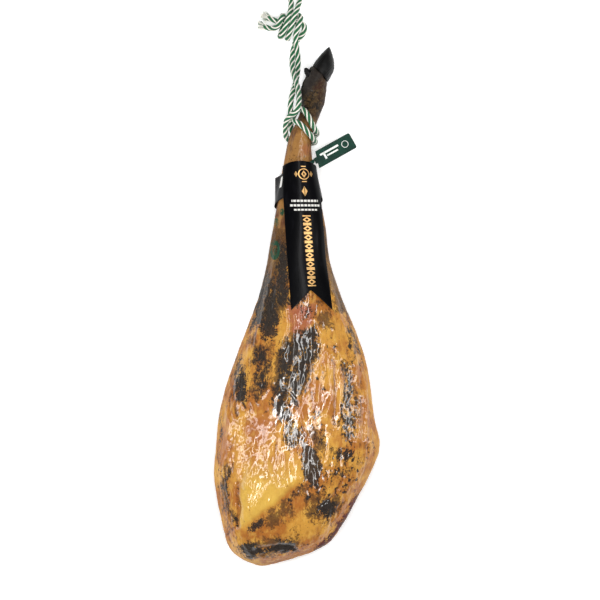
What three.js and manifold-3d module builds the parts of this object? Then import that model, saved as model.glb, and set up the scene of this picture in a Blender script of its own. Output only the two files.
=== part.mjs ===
// A whole cured ham, laid down on its flat lean side with the fat side up.
//
// Millimetres. +X is across the leg, +Y runs from the rump end towards the hoof, +Z is up.
// The origin is under the middle of the leg, on the surface that it rests on.
//
// Pieces: the leg with its foot (one grown piece), the four horn caps of the foot, the twisted
// rope sling that the ham is hung by, a swallow-tailed card label, a paper collar under it and
// a plastic seal with its strap.

import * as THREE from "three";
import { mergeVertices } from "three/addons/utils/BufferGeometryUtils.js";
import Module from "manifold-3d";

const wasm = await Module();
wasm.setup();

// ---------------------------------------------------------------- driving dimensions
const GAP = 0.35; // between pieces that touch
const AROUND = 52; // points around a section of the leg
const RING_STEP = 11; // average spacing of the leg's sections
const END_CROWDING = 0.86; // 0 spaces the sections evenly, near 1 crowds them at the two ends
const TABLE_DIP = 7; // how far the lean side is pressed flat against the table

// Sections of the leg, from the rump end to the toe tip: place along the leg, left and right
// edge, underside and top.
const LEG = [
  { y: -391, left: -58, right: -46, low: 43, top: 51 },
  { y: -388, left: -68, right: -34, low: 36, top: 58 },
  { y: -381, left: -83, right: -8, low: 22, top: 72 },
  { y: -372, left: -96, right: 16, low: 12, top: 82 },
  { y: -358, left: -105, right: 45, low: 4, top: 94 },
  { y: -330, left: -112, right: 68, low: 0, top: 109 },
  { y: -290, left: -120, right: 90, low: 0, top: 120 },
  { y: -250, left: -125, right: 111, low: 0, top: 127 },
  { y: -208, left: -122, right: 125, low: 0, top: 130 },
  { y: -170, left: -118, right: 117, low: 0, top: 129 },
  { y: -130, left: -110, right: 112, low: 0, top: 126 },
  { y: -80, left: -94, right: 103, low: 0, top: 119 },
  { y: -30, left: -75, right: 86, low: 1, top: 109 },
  { y: 20, left: -56, right: 65, low: 5, top: 98 },
  { y: 70, left: -45, right: 49, low: 10, top: 89 },
  { y: 120, left: -36, right: 43, low: 16, top: 81 },
  { y: 165, left: -29, right: 35, low: 20, top: 74 },
  { y: 212, left: -21, right: 25, low: 23, top: 68 },
  { y: 245, left: -15, right: 22, low: 24, top: 66 },
  { y: 262, left: -10, right: 25, low: 23, top: 67 },
  { y: 280, left: -1, right: 32, low: 21, top: 67 },
  { y: 300, left: 5, right: 40, low: 18, top: 64 },
  { y: 320, left: 5, right: 44, low: 16, top: 62 },
  { y: 335, left: 9, right: 45, low: 15, top: 62 },
  { y: 346, left: 14, right: 51, low: 14, top: 63 },
  { y: 356, left: 19, right: 56, low: 15, top: 63 },
  { y: 370, left: 28, right: 56, low: 18, top: 60 },
  { y: 382, left: 38, right: 53, low: 24, top: 54 },
  { y: 391, left: 47, right: 50, low: 34, top: 44 },
];
const SQUARENESS = { body: 2.35, shank: 2.1, from: 20, to: 140 }; // superellipse exponents along y
const WIDEST_AT = 0.44; // height of a section's widest point, as a share of its thickness

// The horn: it starts at a slanting plane through the toes and is split by the cleft.
const CORONET = { x: 34.5, y: 350.5, angle: 48 }; // a point on the plane, and its slope in degrees
const CLEFT = { z: 38.5, half: 0.8, spread: 5 }; // the gap between the claws, and its splay in degrees
const DEWCLAW = { root: 5.5, tip: 2.2, length: 19, sunk: 9 };

// The card label: its centre line at the top edge and at the tails, its width and its tails.
const CARD = { top: [5.5, 217], tails: [23, -6], width: 63, notch: 30, thick: 0.6, over: 4.2, overTail: 1 };
// The paper collar under it.
const COLLAR = {
  y: 176, tilt: 14, tiltTowards: 70, height: 42, thick: 0.5, over: 2.6,
  foldX: -33, foldHalf: 16, // its glued ends make a fold that stands out on the left
};
// The seal: a flag on a strap that goes round the shank.
const SEAL = {
  y: 203, slope: 29.6, strapWidth: 5, strapThick: 1.2,
  flagStart: 27, flagLength: 67, flagWidth: 25.4, flagThick: 1.4, flagCut: 7.5, flagZ: 44, droop: 11,
};

// The rope sling. It is one rope: its two strands leave the hitch round the hock together and
// twist round each other up to a knot, beyond which they open into an eye. The route is the way
// of its centre from one tail to the other, and step is the length of the tube's straight bits.
const ROPE = { diameter: 8.5, sides: 10 };
const ROPE_ROUTE = [
  { name: "tail and two turns of the knot", step: 12, through: [
    [-50, 425, 4.8], [-42, 422, 8], [-34, 421.5, 15], [-28.5, 425, 20.5], [-25, 433, 21.3],
    [-21.5, 441, 14], [-20, 437.5, 5.8], [-21, 427, 4.7], [-24, 416, 5], [-26, 408.5, 10],
    [-22.5, 409.5, 17.5], [-17.6, 423, 21.9], [-13, 437, 20.6], [-9.5, 450, 11.5],
  ] },
  { name: "eye", step: 16, through: [
    [-9, 463, 5.2], [-12.5, 478, 4.7], [-18.5, 492, 4.7], [-17, 506, 4.7], [-3, 513.5, 4.7],
    [11, 506, 4.7], [13, 492, 4.7], [7.5, 478, 4.7], [3.5, 463, 5.7],
  ] },
  { name: "two more turns of the knot", step: 12, through: [
    [0, 450, 16], [-4.6, 438, 21.8], [-8.1, 424, 22], [-12.3, 411.5, 18], [-14.5, 405, 10.8],
    [-13, 411, 5], [-10, 422, 4.7], [-6, 434, 5], [-0.5, 441, 8.6], [5.5, 438.5, 16.5],
    [2.5, 425, 22], [-1.5, 413, 18],
  ] },
  { name: "first strand of the pair", step: 24, through: [
    [-2, 403, 14], [-0.2, 389, 11.8], [1.5, 372, 10.5], [0.6, 354, 16], [-2.5, 336, 28.5],
    [-6.5, 321.5, 42], [-9, 309, 49],
  ] },
  { name: "hitch round the hock", step: 11, through: [
    [-10, 297, 52], [-9.2, 287.5, 52.5], [-6, 280.5, 56.5], [-1.5, 276.5, 65.5], [6, 271.5, 71],
    [13, 264, 71.6], [20, 256.5, 66.4], [25, 250.5, 56], [27.3, 247.5, 42], [24.5, 246.5, 29],
    [17, 247, 20.5], [8, 250.5, 18.8], [-1, 257, 18.6], [-8, 266, 20.5], [-9.5, 275, 27],
    [-6.5, 283.5, 36], [-2.5, 290.5, 44.5], [1, 295.5, 53.5], [6, 296, 62.8], [12.5, 291, 69.3],
    [18.5, 280.4, 71.5], [23.5, 270.5, 67.5], [28.2, 263.5, 56], [30.2, 260.5, 43], [28, 258.5, 29],
    [20, 256.5, 17.5], [10, 253.5, 10.2], [0, 250.5, 9.8], [-9, 250.5, 16], [-15.7, 255, 26.5],
    [-17.2, 262, 37], [-17.2, 270.5, 47.5], [-15.2, 279.5, 57.5], [-9.8, 285.5, 65], [-3, 289, 71],
    [1.2, 295, 73], [2.6, 303.5, 68.8],
  ] },
  { name: "second strand of the pair", step: 24, through: [
    [2.8, 314, 60], [1.2, 327, 49.5], [-2.5, 342, 35.3], [-6.3, 357.5, 21.5], [-7.4, 373, 10.5],
    [-5.8, 389, 5.4], [-1.5, 402.5, 4.8],
  ] },
  { name: "bulge of the knot and the tail through its turns", step: 12, through: [
    [6.5, 410.5, 7], [11.3, 419, 11.5], [10, 427, 12.6], [2.5, 429.8, 12.8], [-8, 429, 13.1],
    [-24, 430.5, 13.2], [-35, 434, 10.5], [-44, 438, 6],
  ] },
];

// ---------------------------------------------------------------- small helpers
const rad = THREE.MathUtils.degToRad;

// A closed three.js geometry as a manifold solid.
function solid(geometry) {
  const bare = (geometry.index ? geometry.toNonIndexed() : geometry).clone();
  for (const name of Object.keys(bare.attributes)) {
    if (name !== "position") bare.deleteAttribute(name);
  }
  const merged = mergeVertices(bare, 1e-4);
  return new wasm.Manifold(
    new wasm.Mesh({
      numProp: 3,
      vertProperties: merged.attributes.position.array,
      triVerts: new Uint32Array(merged.index.array),
    }),
  );
}

// A manifold solid as a three.js geometry.
function geometryOf(made) {
  const mesh = made.getMesh();
  const geometry = new THREE.BufferGeometry();
  geometry.setAttribute("position", new THREE.BufferAttribute(mesh.vertProperties, 3));
  geometry.setIndex(new THREE.BufferAttribute(mesh.triVerts, 1));
  return geometry;
}

// Rings of points, each a list of [x, y, z] the same way round, as one closed skin. The ends are
// closed by a point in the middle of the first and last ring, or the last ring joins the first.
function skin(rings, joined = false) {
  const around = rings[0].length;
  const points = rings.flat();
  const faces = [];
  const last = joined ? rings.length : rings.length - 1;
  for (let r = 0; r < last; r++) {
    const next = (r + 1) % rings.length;
    for (let k = 0; k < around; k++) {
      const a = r * around + k;
      const b = r * around + ((k + 1) % around);
      const c = next * around + ((k + 1) % around);
      const d = next * around + k;
      faces.push(a, b, c, a, c, d);
    }
  }
  if (!joined) {
    const middle = (ring) => [0, 1, 2].map((i) => ring.reduce((sum, p) => sum + p[i], 0) / around);
    const first = points.push(middle(rings[0])) - 1;
    const end = points.push(middle(rings.at(-1))) - 1;
    const base = (rings.length - 1) * around;
    for (let k = 0; k < around; k++) {
      faces.push(first, (k + 1) % around, k);
      faces.push(end, base + k, base + ((k + 1) % around));
    }
  }
  const geometry = new THREE.BufferGeometry();
  geometry.setAttribute("position", new THREE.Float32BufferAttribute(points.flat(), 3));
  geometry.setIndex(faces);
  return geometry;
}

const place = (geometry, { at = [0, 0, 0], turn = [0, 0, 0] }) =>
  geometry.applyMatrix4(
    new THREE.Matrix4().compose(
      new THREE.Vector3(...at),
      new THREE.Quaternion().setFromEuler(new THREE.Euler(...turn.map(rad), "ZYX")),
      new THREE.Vector3(1, 1, 1),
    ),
  );

// ---------------------------------------------------------------- the leg's surface
const KEYS = ["left", "right", "low", "top"];
const legTable = new THREE.CubicInterpolant(
  LEG.map((s) => s.y),
  LEG.flatMap((s) => KEYS.map((key) => s[key])),
  KEYS.length,
);

// The leg's section at y, grown outwards by over.
function sectionAt(y, over = 0) {
  const [left, right, low, top] = legTable.evaluate(y);
  const floor = Math.max(low, 0);
  const shank = THREE.MathUtils.smoothstep(y, SQUARENESS.from, SQUARENESS.to);
  return {
    y,
    middle: (left + right) / 2,
    half: (right - left) / 2 + over,
    widest: floor + (top - floor) * WIDEST_AT,
    up: (top - floor) * (1 - WIDEST_AT) + over,
    down: (top - floor) * WIDEST_AT + over,
    floor: floor - over,
    pressed: TABLE_DIP * THREE.MathUtils.smoothstep(40 - y, 0, 80) * THREE.MathUtils.smoothstep(y, -391, -330),
    power: 2 / THREE.MathUtils.lerp(SQUARENESS.body, SQUARENESS.shank, shank),
  };
}

// The point of a section at an angle: 0 is its right edge, 90 its top, 180 its left edge.
function pointAt(s, angle) {
  const c = Math.cos(rad(angle));
  const q = Math.sin(rad(angle));
  const x = s.middle + s.half * Math.sign(c) * Math.abs(c) ** s.power;
  const reach = q > 0 ? s.up : -(s.down + s.pressed);
  return [x, s.y, Math.max(s.widest + reach * Math.abs(q) ** s.power, s.floor)];
}

function ring(s) {
  return Array.from({ length: AROUND }, (_, k) => pointAt(s, (-360 * k) / AROUND));
}

// ---------------------------------------------------------------- leg and horn
// The whole leg and foot, horn included, grown outwards by over. Its sections crowd together
// towards both ends, where it rounds off.
function legEnvelope(over = 0) {
  const first = LEG[0].y;
  const last = LEG.at(-1).y;
  const steps = Math.round((last - first) / RING_STEP);
  const at = (t) => first + (last - first) * (t - (END_CROWDING * Math.sin(2 * Math.PI * t)) / (2 * Math.PI));
  return skin(Array.from({ length: steps + 1 }, (_, i) => ring(sectionAt(at(i / steps), over))));
}

// A block on one side of the coronet plane: side 1 is the horn's, side -1 the skin's.
function coronetBlock(side) {
  const size = 1600;
  const block = new THREE.BoxGeometry(size, size, size);
  block.translate(0, (side * (size + GAP)) / 2, 0);
  return solid(place(block, { at: [CORONET.x, CORONET.y, CLEFT.z], turn: [0, 0, -CORONET.angle] }));
}

// The half of the horn on one side of the cleft: side 1 is the upper claw, side -1 the lower.
function cleftBlock(side) {
  const size = 1600;
  const block = new THREE.BoxGeometry(size, size, size);
  block.translate(0, 0, side * (size / 2 + CLEFT.half));
  return solid(place(block, { at: [CORONET.x, CORONET.y - 6, CLEFT.z], turn: [side * CLEFT.spread, 0, 0] }));
}

// A dewclaw's horn, or its socket in the skin, grown by over.
function dewclaw(side, over = 0) {
  const { root, tip, length, sunk } = DEWCLAW;
  const outline = [
    new THREE.Vector2(0, -sunk - over),
    new THREE.Vector2(root + over, -sunk - over),
    new THREE.Vector2(root + over, 0),
    new THREE.Vector2(root * 0.82 + over, (length - sunk) * 0.55),
    new THREE.Vector2(tip + over, length - sunk),
    new THREE.Vector2(0, length - sunk + 1 + over),
  ];
  const cone = new THREE.LatheGeometry(outline, 16);
  return solid(place(cone, { at: [18, 350, CLEFT.z + side * 9], turn: [side * 12, 0, 38] }));
}

const envelope = solid(legEnvelope());
const horn = envelope.intersect(coronetBlock(1));
const pieces = {
  leg: envelope.intersect(coronetBlock(-1)).subtract(dewclaw(1, GAP)).subtract(dewclaw(-1, GAP)),
  hoofOuter: horn.intersect(cleftBlock(1)).subtract(dewclaw(1, GAP)),
  hoofInner: horn.intersect(cleftBlock(-1)).subtract(dewclaw(-1, GAP)),
  dewclawOuter: dewclaw(1),
  dewclawInner: dewclaw(-1),
};

// ---------------------------------------------------------------- what is wrapped round the shank
// The point a distance along the section from its highest point over x = start.
function walk(s, start, distance) {
  const step = 0.5;
  const way = Math.sign(distance);
  let angle = 90;
  let best = Infinity;
  for (let a = 10; a < 170; a += step) {
    const off = Math.abs(pointAt(s, a)[0] - start);
    if (off < best) {
      best = off;
      angle = a;
    }
  }
  let here = pointAt(s, angle);
  let left = Math.abs(distance);
  while (left > 0) {
    angle -= way * step;
    const next = pointAt(s, angle);
    const gone = Math.hypot(next[0] - here[0], next[2] - here[2]);
    if (gone >= left) return here.map((v, i) => v + ((next[i] - v) * left) / gone);
    left -= gone;
    here = next;
  }
  return here;
}

// The card label: rows across it from the top edge to its two tails.
function cardLabel() {
  const rows = 26;
  const columns = 16;
  const [topX, topY] = CARD.top;
  const [tailX, tailY] = CARD.tails;
  const rings = [];
  for (let j = 0; j <= columns; j++) {
    const u = (2 * j) / columns - 1;
    const end = tailY + CARD.notch * (1 - Math.abs(u));
    const start = topY - 8 * u * u;
    const line = (over) =>
      Array.from({ length: rows + 1 }, (_, i) => {
        const y = THREE.MathUtils.lerp(start, end, i / rows);
        const centre = THREE.MathUtils.mapLinear(y, topY, tailY, topX, tailX);
        const lower = (CARD.over - CARD.overTail) * (1 - THREE.MathUtils.smoothstep(y, 40, 140));
        return walk(sectionAt(y, over - lower), centre, (u * CARD.width) / 2);
      });
    rings.push([...line(CARD.over + CARD.thick), ...line(CARD.over).reverse()]);
  }
  // The loop goes round the card's thickness, so each ring is one column of it.
  return solid(skin(rings));
}

// The paper collar: a closed band round the shank, whose ends meet in a fold on the left.
function collar() {
  const steps = 60;
  const rows = 4;
  const rings = Array.from({ length: steps }, (_, i) => {
    const angle = (360 * i) / steps;
    const centre = COLLAR.y + COLLAR.tilt * Math.cos(rad(angle - COLLAR.tiltTowards));
    const fold = Math.max(0, 1 - Math.abs(angle - 180) / COLLAR.foldHalf);
    const line = (over) =>
      Array.from({ length: rows + 1 }, (_, r) => {
        const [x, y, z] = pointAt(sectionAt(centre + COLLAR.height * (r / rows - 0.5), over), angle);
        const crease = COLLAR.foldX + COLLAR.over - over;
        return [Math.min(x, THREE.MathUtils.lerp(x, crease, fold)), y, z];
      });
    return [...line(COLLAR.over + COLLAR.thick), ...line(COLLAR.over).reverse()];
  });
  return solid(skin(rings, true));
}

// The seal's strap round the shank, in the slanting plane of its flag.
function strap() {
  const steps = 48;
  const slope = Math.tan(rad(SEAL.slope));
  const rings = Array.from({ length: steps }, (_, i) => {
    const angle = (360 * i) / steps;
    const corner = (over, along) => {
      const y = SEAL.y + slope * pointAt(sectionAt(SEAL.y), angle)[0] + along;
      return pointAt(sectionAt(y, over), angle);
    };
    const half = SEAL.strapWidth / 2;
    const near = 2 * GAP;
    const out = near + SEAL.strapThick;
    return [corner(out, -half), corner(out, half), corner(near, half), corner(near, -half)];
  });
  return solid(skin(rings, true));
}

function flagShape() {
  const corner = 2.5;
  const half = SEAL.flagWidth / 2;
  const long = SEAL.flagLength;
  const shape = new THREE.Shape();
  shape.moveTo(0, -half);
  shape.lineTo(long - corner, -half);
  shape.absarc(long - corner, corner - half, corner, -Math.PI / 2, 0);
  shape.lineTo(long, half - corner);
  shape.absarc(long - corner, half - corner, corner, 0, Math.PI / 2);
  shape.lineTo(SEAL.flagCut, half);
  return shape;
}

// Flag, lock head and strap are moulded as one.
function seal() {
  const turn = [0, SEAL.droop, SEAL.slope];
  const start = SEAL.flagStart;
  const at = [start, SEAL.y + start * Math.tan(rad(SEAL.slope)), SEAL.flagZ];
  const flag = new THREE.ExtrudeGeometry(flagShape(), { depth: SEAL.flagThick, bevelEnabled: false, curveSegments: 5 });
  const head = new THREE.BoxGeometry(9, 9, 5);
  head.translate(4.5, 0, -1.5);
  return solid(place(flag, { at, turn })).add(solid(place(head, { at, turn }))).add(strap());
}

// ---------------------------------------------------------------- the rope
// One stretch of a longer curve, from one share of its length to another.
class Stretch extends THREE.Curve {
  constructor(whole, from, to) {
    super();
    Object.assign(this, { whole, from, to });
  }
  getPoint(t, target = new THREE.Vector3()) {
    return this.whole.getPointAt(THREE.MathUtils.lerp(this.from, this.to, t), target);
  }
}

// Each stretch of the rope is a tube, a little longer than the stretch, and they are joined.
function rope() {
  const centre = new THREE.CatmullRomCurve3(
    ROPE_ROUTE.flatMap((stretch) => stretch.through.map((p) => new THREE.Vector3(...p))),
    false,
    "centripetal",
  );
  const count = centre.points.length - 1;
  centre.arcLengthDivisions = count * 40;
  const lengths = centre.getLengths();
  const total = lengths.at(-1);
  const section = new THREE.Shape().absarc(0, 0, ROPE.diameter / 2, 0, 2 * Math.PI);
  let used = 0;
  let joined = null;
  for (const { step, through } of ROPE_ROUTE) {
    const start = lengths[used * 40];
    used = Math.min(used + through.length, count);
    const end = Math.min(lengths[used * 40] + 1, total);
    const tube = new THREE.ExtrudeGeometry(section, {
      extrudePath: new Stretch(centre, start / total, end / total),
      steps: Math.round((end - start) / step),
      curveSegments: ROPE.sides / 2, // an arc takes two points for each
    });
    joined = joined ? joined.add(solid(tube)) : solid(tube);
  }
  return joined.subtract(solid(legEnvelope(GAP)));
}

// ---------------------------------------------------------------- the assembly
const skinFinish = new THREE.MeshStandardMaterial({ color: 0xb87a2a, roughness: 0.4, metalness: 0 });
const hornFinish = new THREE.MeshStandardMaterial({ color: 0x16140f, roughness: 0.45, metalness: 0 });
const ropeFinish = new THREE.MeshStandardMaterial({ color: 0x1f6a45, roughness: 0.9, metalness: 0 });
const cardFinish = new THREE.MeshStandardMaterial({ color: 0x0e0d10, roughness: 0.35, metalness: 0 });
const paperFinish = new THREE.MeshStandardMaterial({ color: 0x151416, roughness: 0.5, metalness: 0 });
const sealFinish = new THREE.MeshStandardMaterial({ color: 0x12463a, roughness: 0.3, metalness: 0 });

const ham = new THREE.Group();
function add(name, made, finish) {
  const mesh = new THREE.Mesh(geometryOf(made), finish);
  mesh.name = name;
  ham.add(mesh);
}

add("ham_leg", pieces.leg, skinFinish);
add("hoof_outer", pieces.hoofOuter, hornFinish);
add("hoof_inner", pieces.hoofInner, hornFinish);
add("dewclaw_outer", pieces.dewclawOuter, hornFinish);
add("dewclaw_inner", pieces.dewclawInner, hornFinish);
add("hanging_rope", rope(), ropeFinish);
add("card_label", cardLabel(), cardFinish);
add("paper_collar", collar(), paperFinish);
add("plastic_seal", seal(), sealFinish);

export default ham;
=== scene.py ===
# %% [markdown]
# # A whole cured ham, laid down on its lean side
# This lesson dresses a ham that already exists as plain solids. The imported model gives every
# piece its real place and size, in metres, with +Y from the rump end to the hoof and +Z up.
# Here each piece gets the surface that the real one has: creased and stained fat, dried skin,
# black horn, laid rope, laminated card, and moulded plastic.

# %% Load the solids
import math

import bmesh
import bpy
import numpy as np
from mathutils import Matrix, Vector, noise
from mathutils.bvhtree import BVHTree


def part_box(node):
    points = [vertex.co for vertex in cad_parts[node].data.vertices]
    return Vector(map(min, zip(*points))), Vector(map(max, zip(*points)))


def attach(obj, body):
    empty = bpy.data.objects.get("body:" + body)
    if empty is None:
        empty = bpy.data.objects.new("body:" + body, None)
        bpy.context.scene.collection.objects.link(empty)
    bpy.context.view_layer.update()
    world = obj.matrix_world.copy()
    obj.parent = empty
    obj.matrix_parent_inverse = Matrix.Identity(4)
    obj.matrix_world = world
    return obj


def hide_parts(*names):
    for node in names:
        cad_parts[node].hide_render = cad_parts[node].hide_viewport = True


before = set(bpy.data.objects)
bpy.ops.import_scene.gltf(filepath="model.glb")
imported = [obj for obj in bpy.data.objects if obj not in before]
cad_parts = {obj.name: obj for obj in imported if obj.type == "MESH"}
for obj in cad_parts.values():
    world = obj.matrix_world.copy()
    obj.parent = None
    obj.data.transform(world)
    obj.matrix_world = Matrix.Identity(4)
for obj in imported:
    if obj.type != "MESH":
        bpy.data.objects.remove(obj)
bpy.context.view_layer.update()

MM = 0.001
print("solids:", ", ".join(sorted(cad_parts)))

# %% [markdown]
# ## The camera
# The ham lies on a table, so its fat side faces up and the camera looks straight down on it.
# A long lens from far away keeps the proportions true, as in a catalogue picture. The lens is
# worked out from the width that the picture shows at the height of the ham's widest outline.

# %% Camera
LEG_LOW, LEG_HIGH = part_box("ham_leg")
SENSOR_WIDTH = 36  # millimetres, as camera makers give it
PICTURE_WIDTH = 0.9
CAMERA_HEIGHT = 4.0
WIDEST_SHARE = 0.44  # the ham is widest at this share of its height
AIM = Vector((4.5 * MM, 9.4 * MM, WIDEST_SHARE * LEG_HIGH.z))


def make_camera():
    data = bpy.data.cameras.new("camera")
    data.sensor_width = SENSOR_WIDTH
    data.lens = SENSOR_WIDTH * CAMERA_HEIGHT / PICTURE_WIDTH
    camera = bpy.data.objects.new("camera", data)
    camera.location = AIM + Vector((0, 0, CAMERA_HEIGHT))
    bpy.context.scene.collection.objects.link(camera)
    bpy.context.scene.camera = camera
    print(f"lens: {data.lens:.0f} mm from {CAMERA_HEIGHT:.1f} m")


make_camera()

# %% [markdown]
# ## Shader maths as Python sums
# A node tree is easier to read as a formula. `Value` wraps one socket, so that `1 - mask * 2`
# adds the Math nodes by itself. `Finish` holds one material, and its `node` method adds any
# other node from a type, its settings and its inputs. Colours are mixed by Mix nodes, because
# a Math node would turn them grey.


# %% A socket as a number
class Value:
    def __init__(self, finish, socket):
        self.finish = finish
        self.socket = socket

    def maths(self, operation, *inputs):
        numbered = dict(enumerate(inputs))
        return self.finish.node("ShaderNodeMath", {"operation": operation}, numbered)

    def __add__(self, other):
        return self.maths("ADD", self, other)

    def __sub__(self, other):
        return self.maths("SUBTRACT", self, other)

    def __rsub__(self, other):
        return self.maths("SUBTRACT", other, self)

    def __mul__(self, other):
        return self.maths("MULTIPLY", self, other)

    def __truediv__(self, other):
        return self.maths("DIVIDE", self, other)

    def __pow__(self, other):
        return self.maths("POWER", self, other)

    def __abs__(self):
        return self.maths("ABSOLUTE", self)

    def most(self, other):
        return self.maths("MAXIMUM", self, other)

    def least(self, other):
        return self.maths("MINIMUM", self, other)

    def ramp(self, low, high):
        """0 below low, 1 above high, and smooth between them."""
        settings = {"interpolation_type": "SMOOTHSTEP"}
        sockets = {"Value": self, "From Min": low, "From Max": high}
        return self.finish.node("ShaderNodeMapRange", settings, sockets)

    __radd__ = __add__
    __rmul__ = __mul__


# %% A material as an object
class Finish:
    def __init__(self, name, roughness=0.5, **constants):
        self.material = bpy.data.materials.new(name)
        self.material.use_nodes = True
        self.tree = self.material.node_tree
        self.shader = self.tree.nodes["Principled BSDF"]
        self.set(Roughness=roughness)
        for socket, value in constants.items():
            self.shader.inputs[socket.replace("_", " ")].default_value = value

    def node(self, kind, settings=None, inputs=None, output=0):
        made = self.tree.nodes.new(kind)
        for name, value in (settings or {}).items():
            setattr(made, name, value)
        for name, value in (inputs or {}).items():
            if isinstance(value, Value):
                self.tree.links.new(value.socket, made.inputs[name])
            else:
                made.inputs[name].default_value = value
        return Value(self, made.outputs[output])

    def set(self, **sockets):
        for name, value in sockets.items():
            socket = self.shader.inputs[name.replace("_", " ")]
            if isinstance(value, Value):
                self.tree.links.new(value.socket, socket)
            else:
                socket.default_value = value

    def place(self, stretch=(1, 1, 1)):
        """Object coordinates in metres, multiplied axis by axis."""
        where = self.node("ShaderNodeTexCoord", output="Object")
        return self.node("ShaderNodeMapping", {}, {"Vector": where, "Scale": stretch})

    def attribute(self, name):
        return self.node("ShaderNodeAttribute", {"attribute_name": name}, output="Fac")

    def noise(self, where, scale, detail=2.0, rough=0.5, distortion=0.0):
        sockets = {"Vector": where, "Scale": scale, "Detail": detail}
        sockets |= {"Roughness": rough, "Distortion": distortion}
        return self.node("ShaderNodeTexNoise", {}, sockets, "Fac")

    def cells(self, where, scale, feature="F1", output="Distance"):
        sockets = {"Vector": where, "Scale": scale}
        return self.node("ShaderNodeTexVoronoi", {"feature": feature}, sockets, output)

    def mix(self, first, second, factor):
        settings = {"data_type": "RGBA", "blend_type": "MIX"}
        return self.node("ShaderNodeMix", settings, {0: factor, 6: first, 7: second}, 2)

    def bump(self, height, distance, strength=1.0, after=None):
        sockets = {"Height": height, "Distance": distance, "Strength": strength}
        if after:
            sockets["Normal"] = after
        return self.node("ShaderNodeBump", {}, sockets)


# %% Colours
def colour(red, green, blue):
    """A colour as a screen shows it, 0 to 255, as the linear colour that a shader wants."""
    shares = (red / 255, green / 255, blue / 255)
    linear = [s / 12.92 if s < 0.04045 else ((s + 0.055) / 1.055) ** 2.4 for s in shares]
    return (*linear, 1.0)


# %% [markdown]
# ## Making pieces
# Every new piece ends the same way: its mesh becomes an object at the origin, it gets its
# material, it is told which body it rides on, and the solids that it stands for are hidden.


# %% Piece helpers
def piece(name, mesh, finishes, stands_for=(), smooth=True):
    for finish in finishes:
        mesh.materials.append(finish.material)
    mesh.shade_smooth() if smooth else mesh.shade_flat()
    made = bpy.data.objects.new(name, mesh)
    bpy.context.scene.collection.objects.link(made)
    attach(made, "root")
    if stands_for:
        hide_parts(*stands_for)
    print(f"{name}: {len(mesh.polygons)} faces")
    return made


def mesh_from(bm, name):
    mesh = bpy.data.meshes.new(name)
    bm.to_mesh(mesh)
    bm.free()
    return mesh


def merged_copy(node):
    """A solid's mesh comes as loose triangles, so a copy is welded before it is worked on."""
    bm = bmesh.new()
    bm.from_mesh(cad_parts[node].data)
    bmesh.ops.remove_doubles(bm, verts=bm.verts, dist=0.01 * MM)
    return bm


# %% [markdown]
# ## The table and the light
# Glossy fat shows the lights as streaks along every ridge, so the lights are long narrow soft
# boxes in line with the leg: one overhead and three on each side, from high to low, so that a
# ridge catches one of them wherever it faces. A pale floor and a pale world fill the shadows.

# %% Floor and lights
FLOOR_HALF = 15.0
FLOOR_GLOW = 0.3  # the paper is lit from behind a little, so that it stays pale far away
FLOOR_DROP = 0.5 * MM  # below the ham, so that the two surfaces don't fight
WORLD_STRENGTH = 0.22
LOOK_AT = (0, 0, 0.05)
SOFTBOXES = [  # name, place, width and length in metres, watts
    ("overhead_strip", (0.1, 0.4, 2.4), (0.2, 3.0), 24),
    ("left_high_strip", (-0.75, -0.25, 2.2), (0.14, 2.8), 12.5),
    ("left_middle_strip", (-1.45, -0.25, 1.7), (0.1, 2.4), 7.5),
    ("left_low_strip", (-1.8, 0.0, 0.8), (0.12, 2.2), 6),
    ("right_high_strip", (0.75, 0.35, 2.2), (0.14, 2.8), 12.5),
    ("right_middle_strip", (1.45, 0.35, 1.7), (0.1, 2.4), 7.5),
    ("right_low_strip", (1.8, 0.0, 0.8), (0.12, 2.2), 6),
    ("rump_left_box", (-1.1, -0.95, 1.8), (0.16, 0.6), 5),
    ("rump_right_box", (0.7, -0.95, 2.0), (0.16, 0.6), 4),
]


# %% Making the floor and the lights
def make_floor():
    bm = bmesh.new()
    bmesh.ops.create_grid(bm, x_segments=1, y_segments=1, size=FLOOR_HALF)
    floor = bpy.data.objects.new("floor", mesh_from(bm, "floor"))
    finish = Finish("pale_paper", roughness=0.9, Specular_IOR_Level=0.1)
    finish.set(Emission_Color=(1, 1, 1, 1), Emission_Strength=FLOOR_GLOW)
    grain = finish.noise(finish.place(), 900, 2)
    finish.set(Base_Color=finish.mix((0.93, 0.93, 0.93, 1), (0.90, 0.90, 0.90, 1), grain))
    floor.data.materials.append(finish.material)
    bpy.context.scene.collection.objects.link(floor)
    floor.location.z = -FLOOR_DROP


def softbox(name, place, size, watts):
    data = bpy.data.lights.new(name, "AREA")
    data.shape = "RECTANGLE"
    data.size, data.size_y = size
    data.energy = watts
    box = bpy.data.objects.new(name, data)
    box.location = place
    way = Vector(LOOK_AT) - Vector(place)
    box.rotation_euler = way.to_track_quat("-Z", "Y").to_euler()
    bpy.context.scene.collection.objects.link(box)


def make_world():
    world = bpy.data.worlds.new("pale_room")
    world.use_nodes = True
    background = world.node_tree.nodes["Background"]
    background.inputs["Color"].default_value = (1, 1, 1, 1)
    background.inputs["Strength"].default_value = WORLD_STRENGTH
    bpy.context.scene.world = world
    bpy.context.scene.view_settings.view_transform = "Standard"


make_floor()
make_world()
for name, place, size, watts in SOFTBOXES:
    softbox(name, place, size, watts)
print(f"lights: {len(SOFTBOXES)} soft boxes")

# %% [markdown]
# ## The rope
# The sling is one laid rope, about 1.2 m from tail to tail and 8.5 mm thick. Both of its
# strands leave the hitch round the hock, twist round each other, pass through the knot and
# open into an eye. A rope like this could be a curve with a round bevel, but a laid rope has
# plump strands that wind round it, so its mesh is swept here: a section of six lobes that
# turns as it goes along the route. The route is the same list as in the solid's source.

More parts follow.
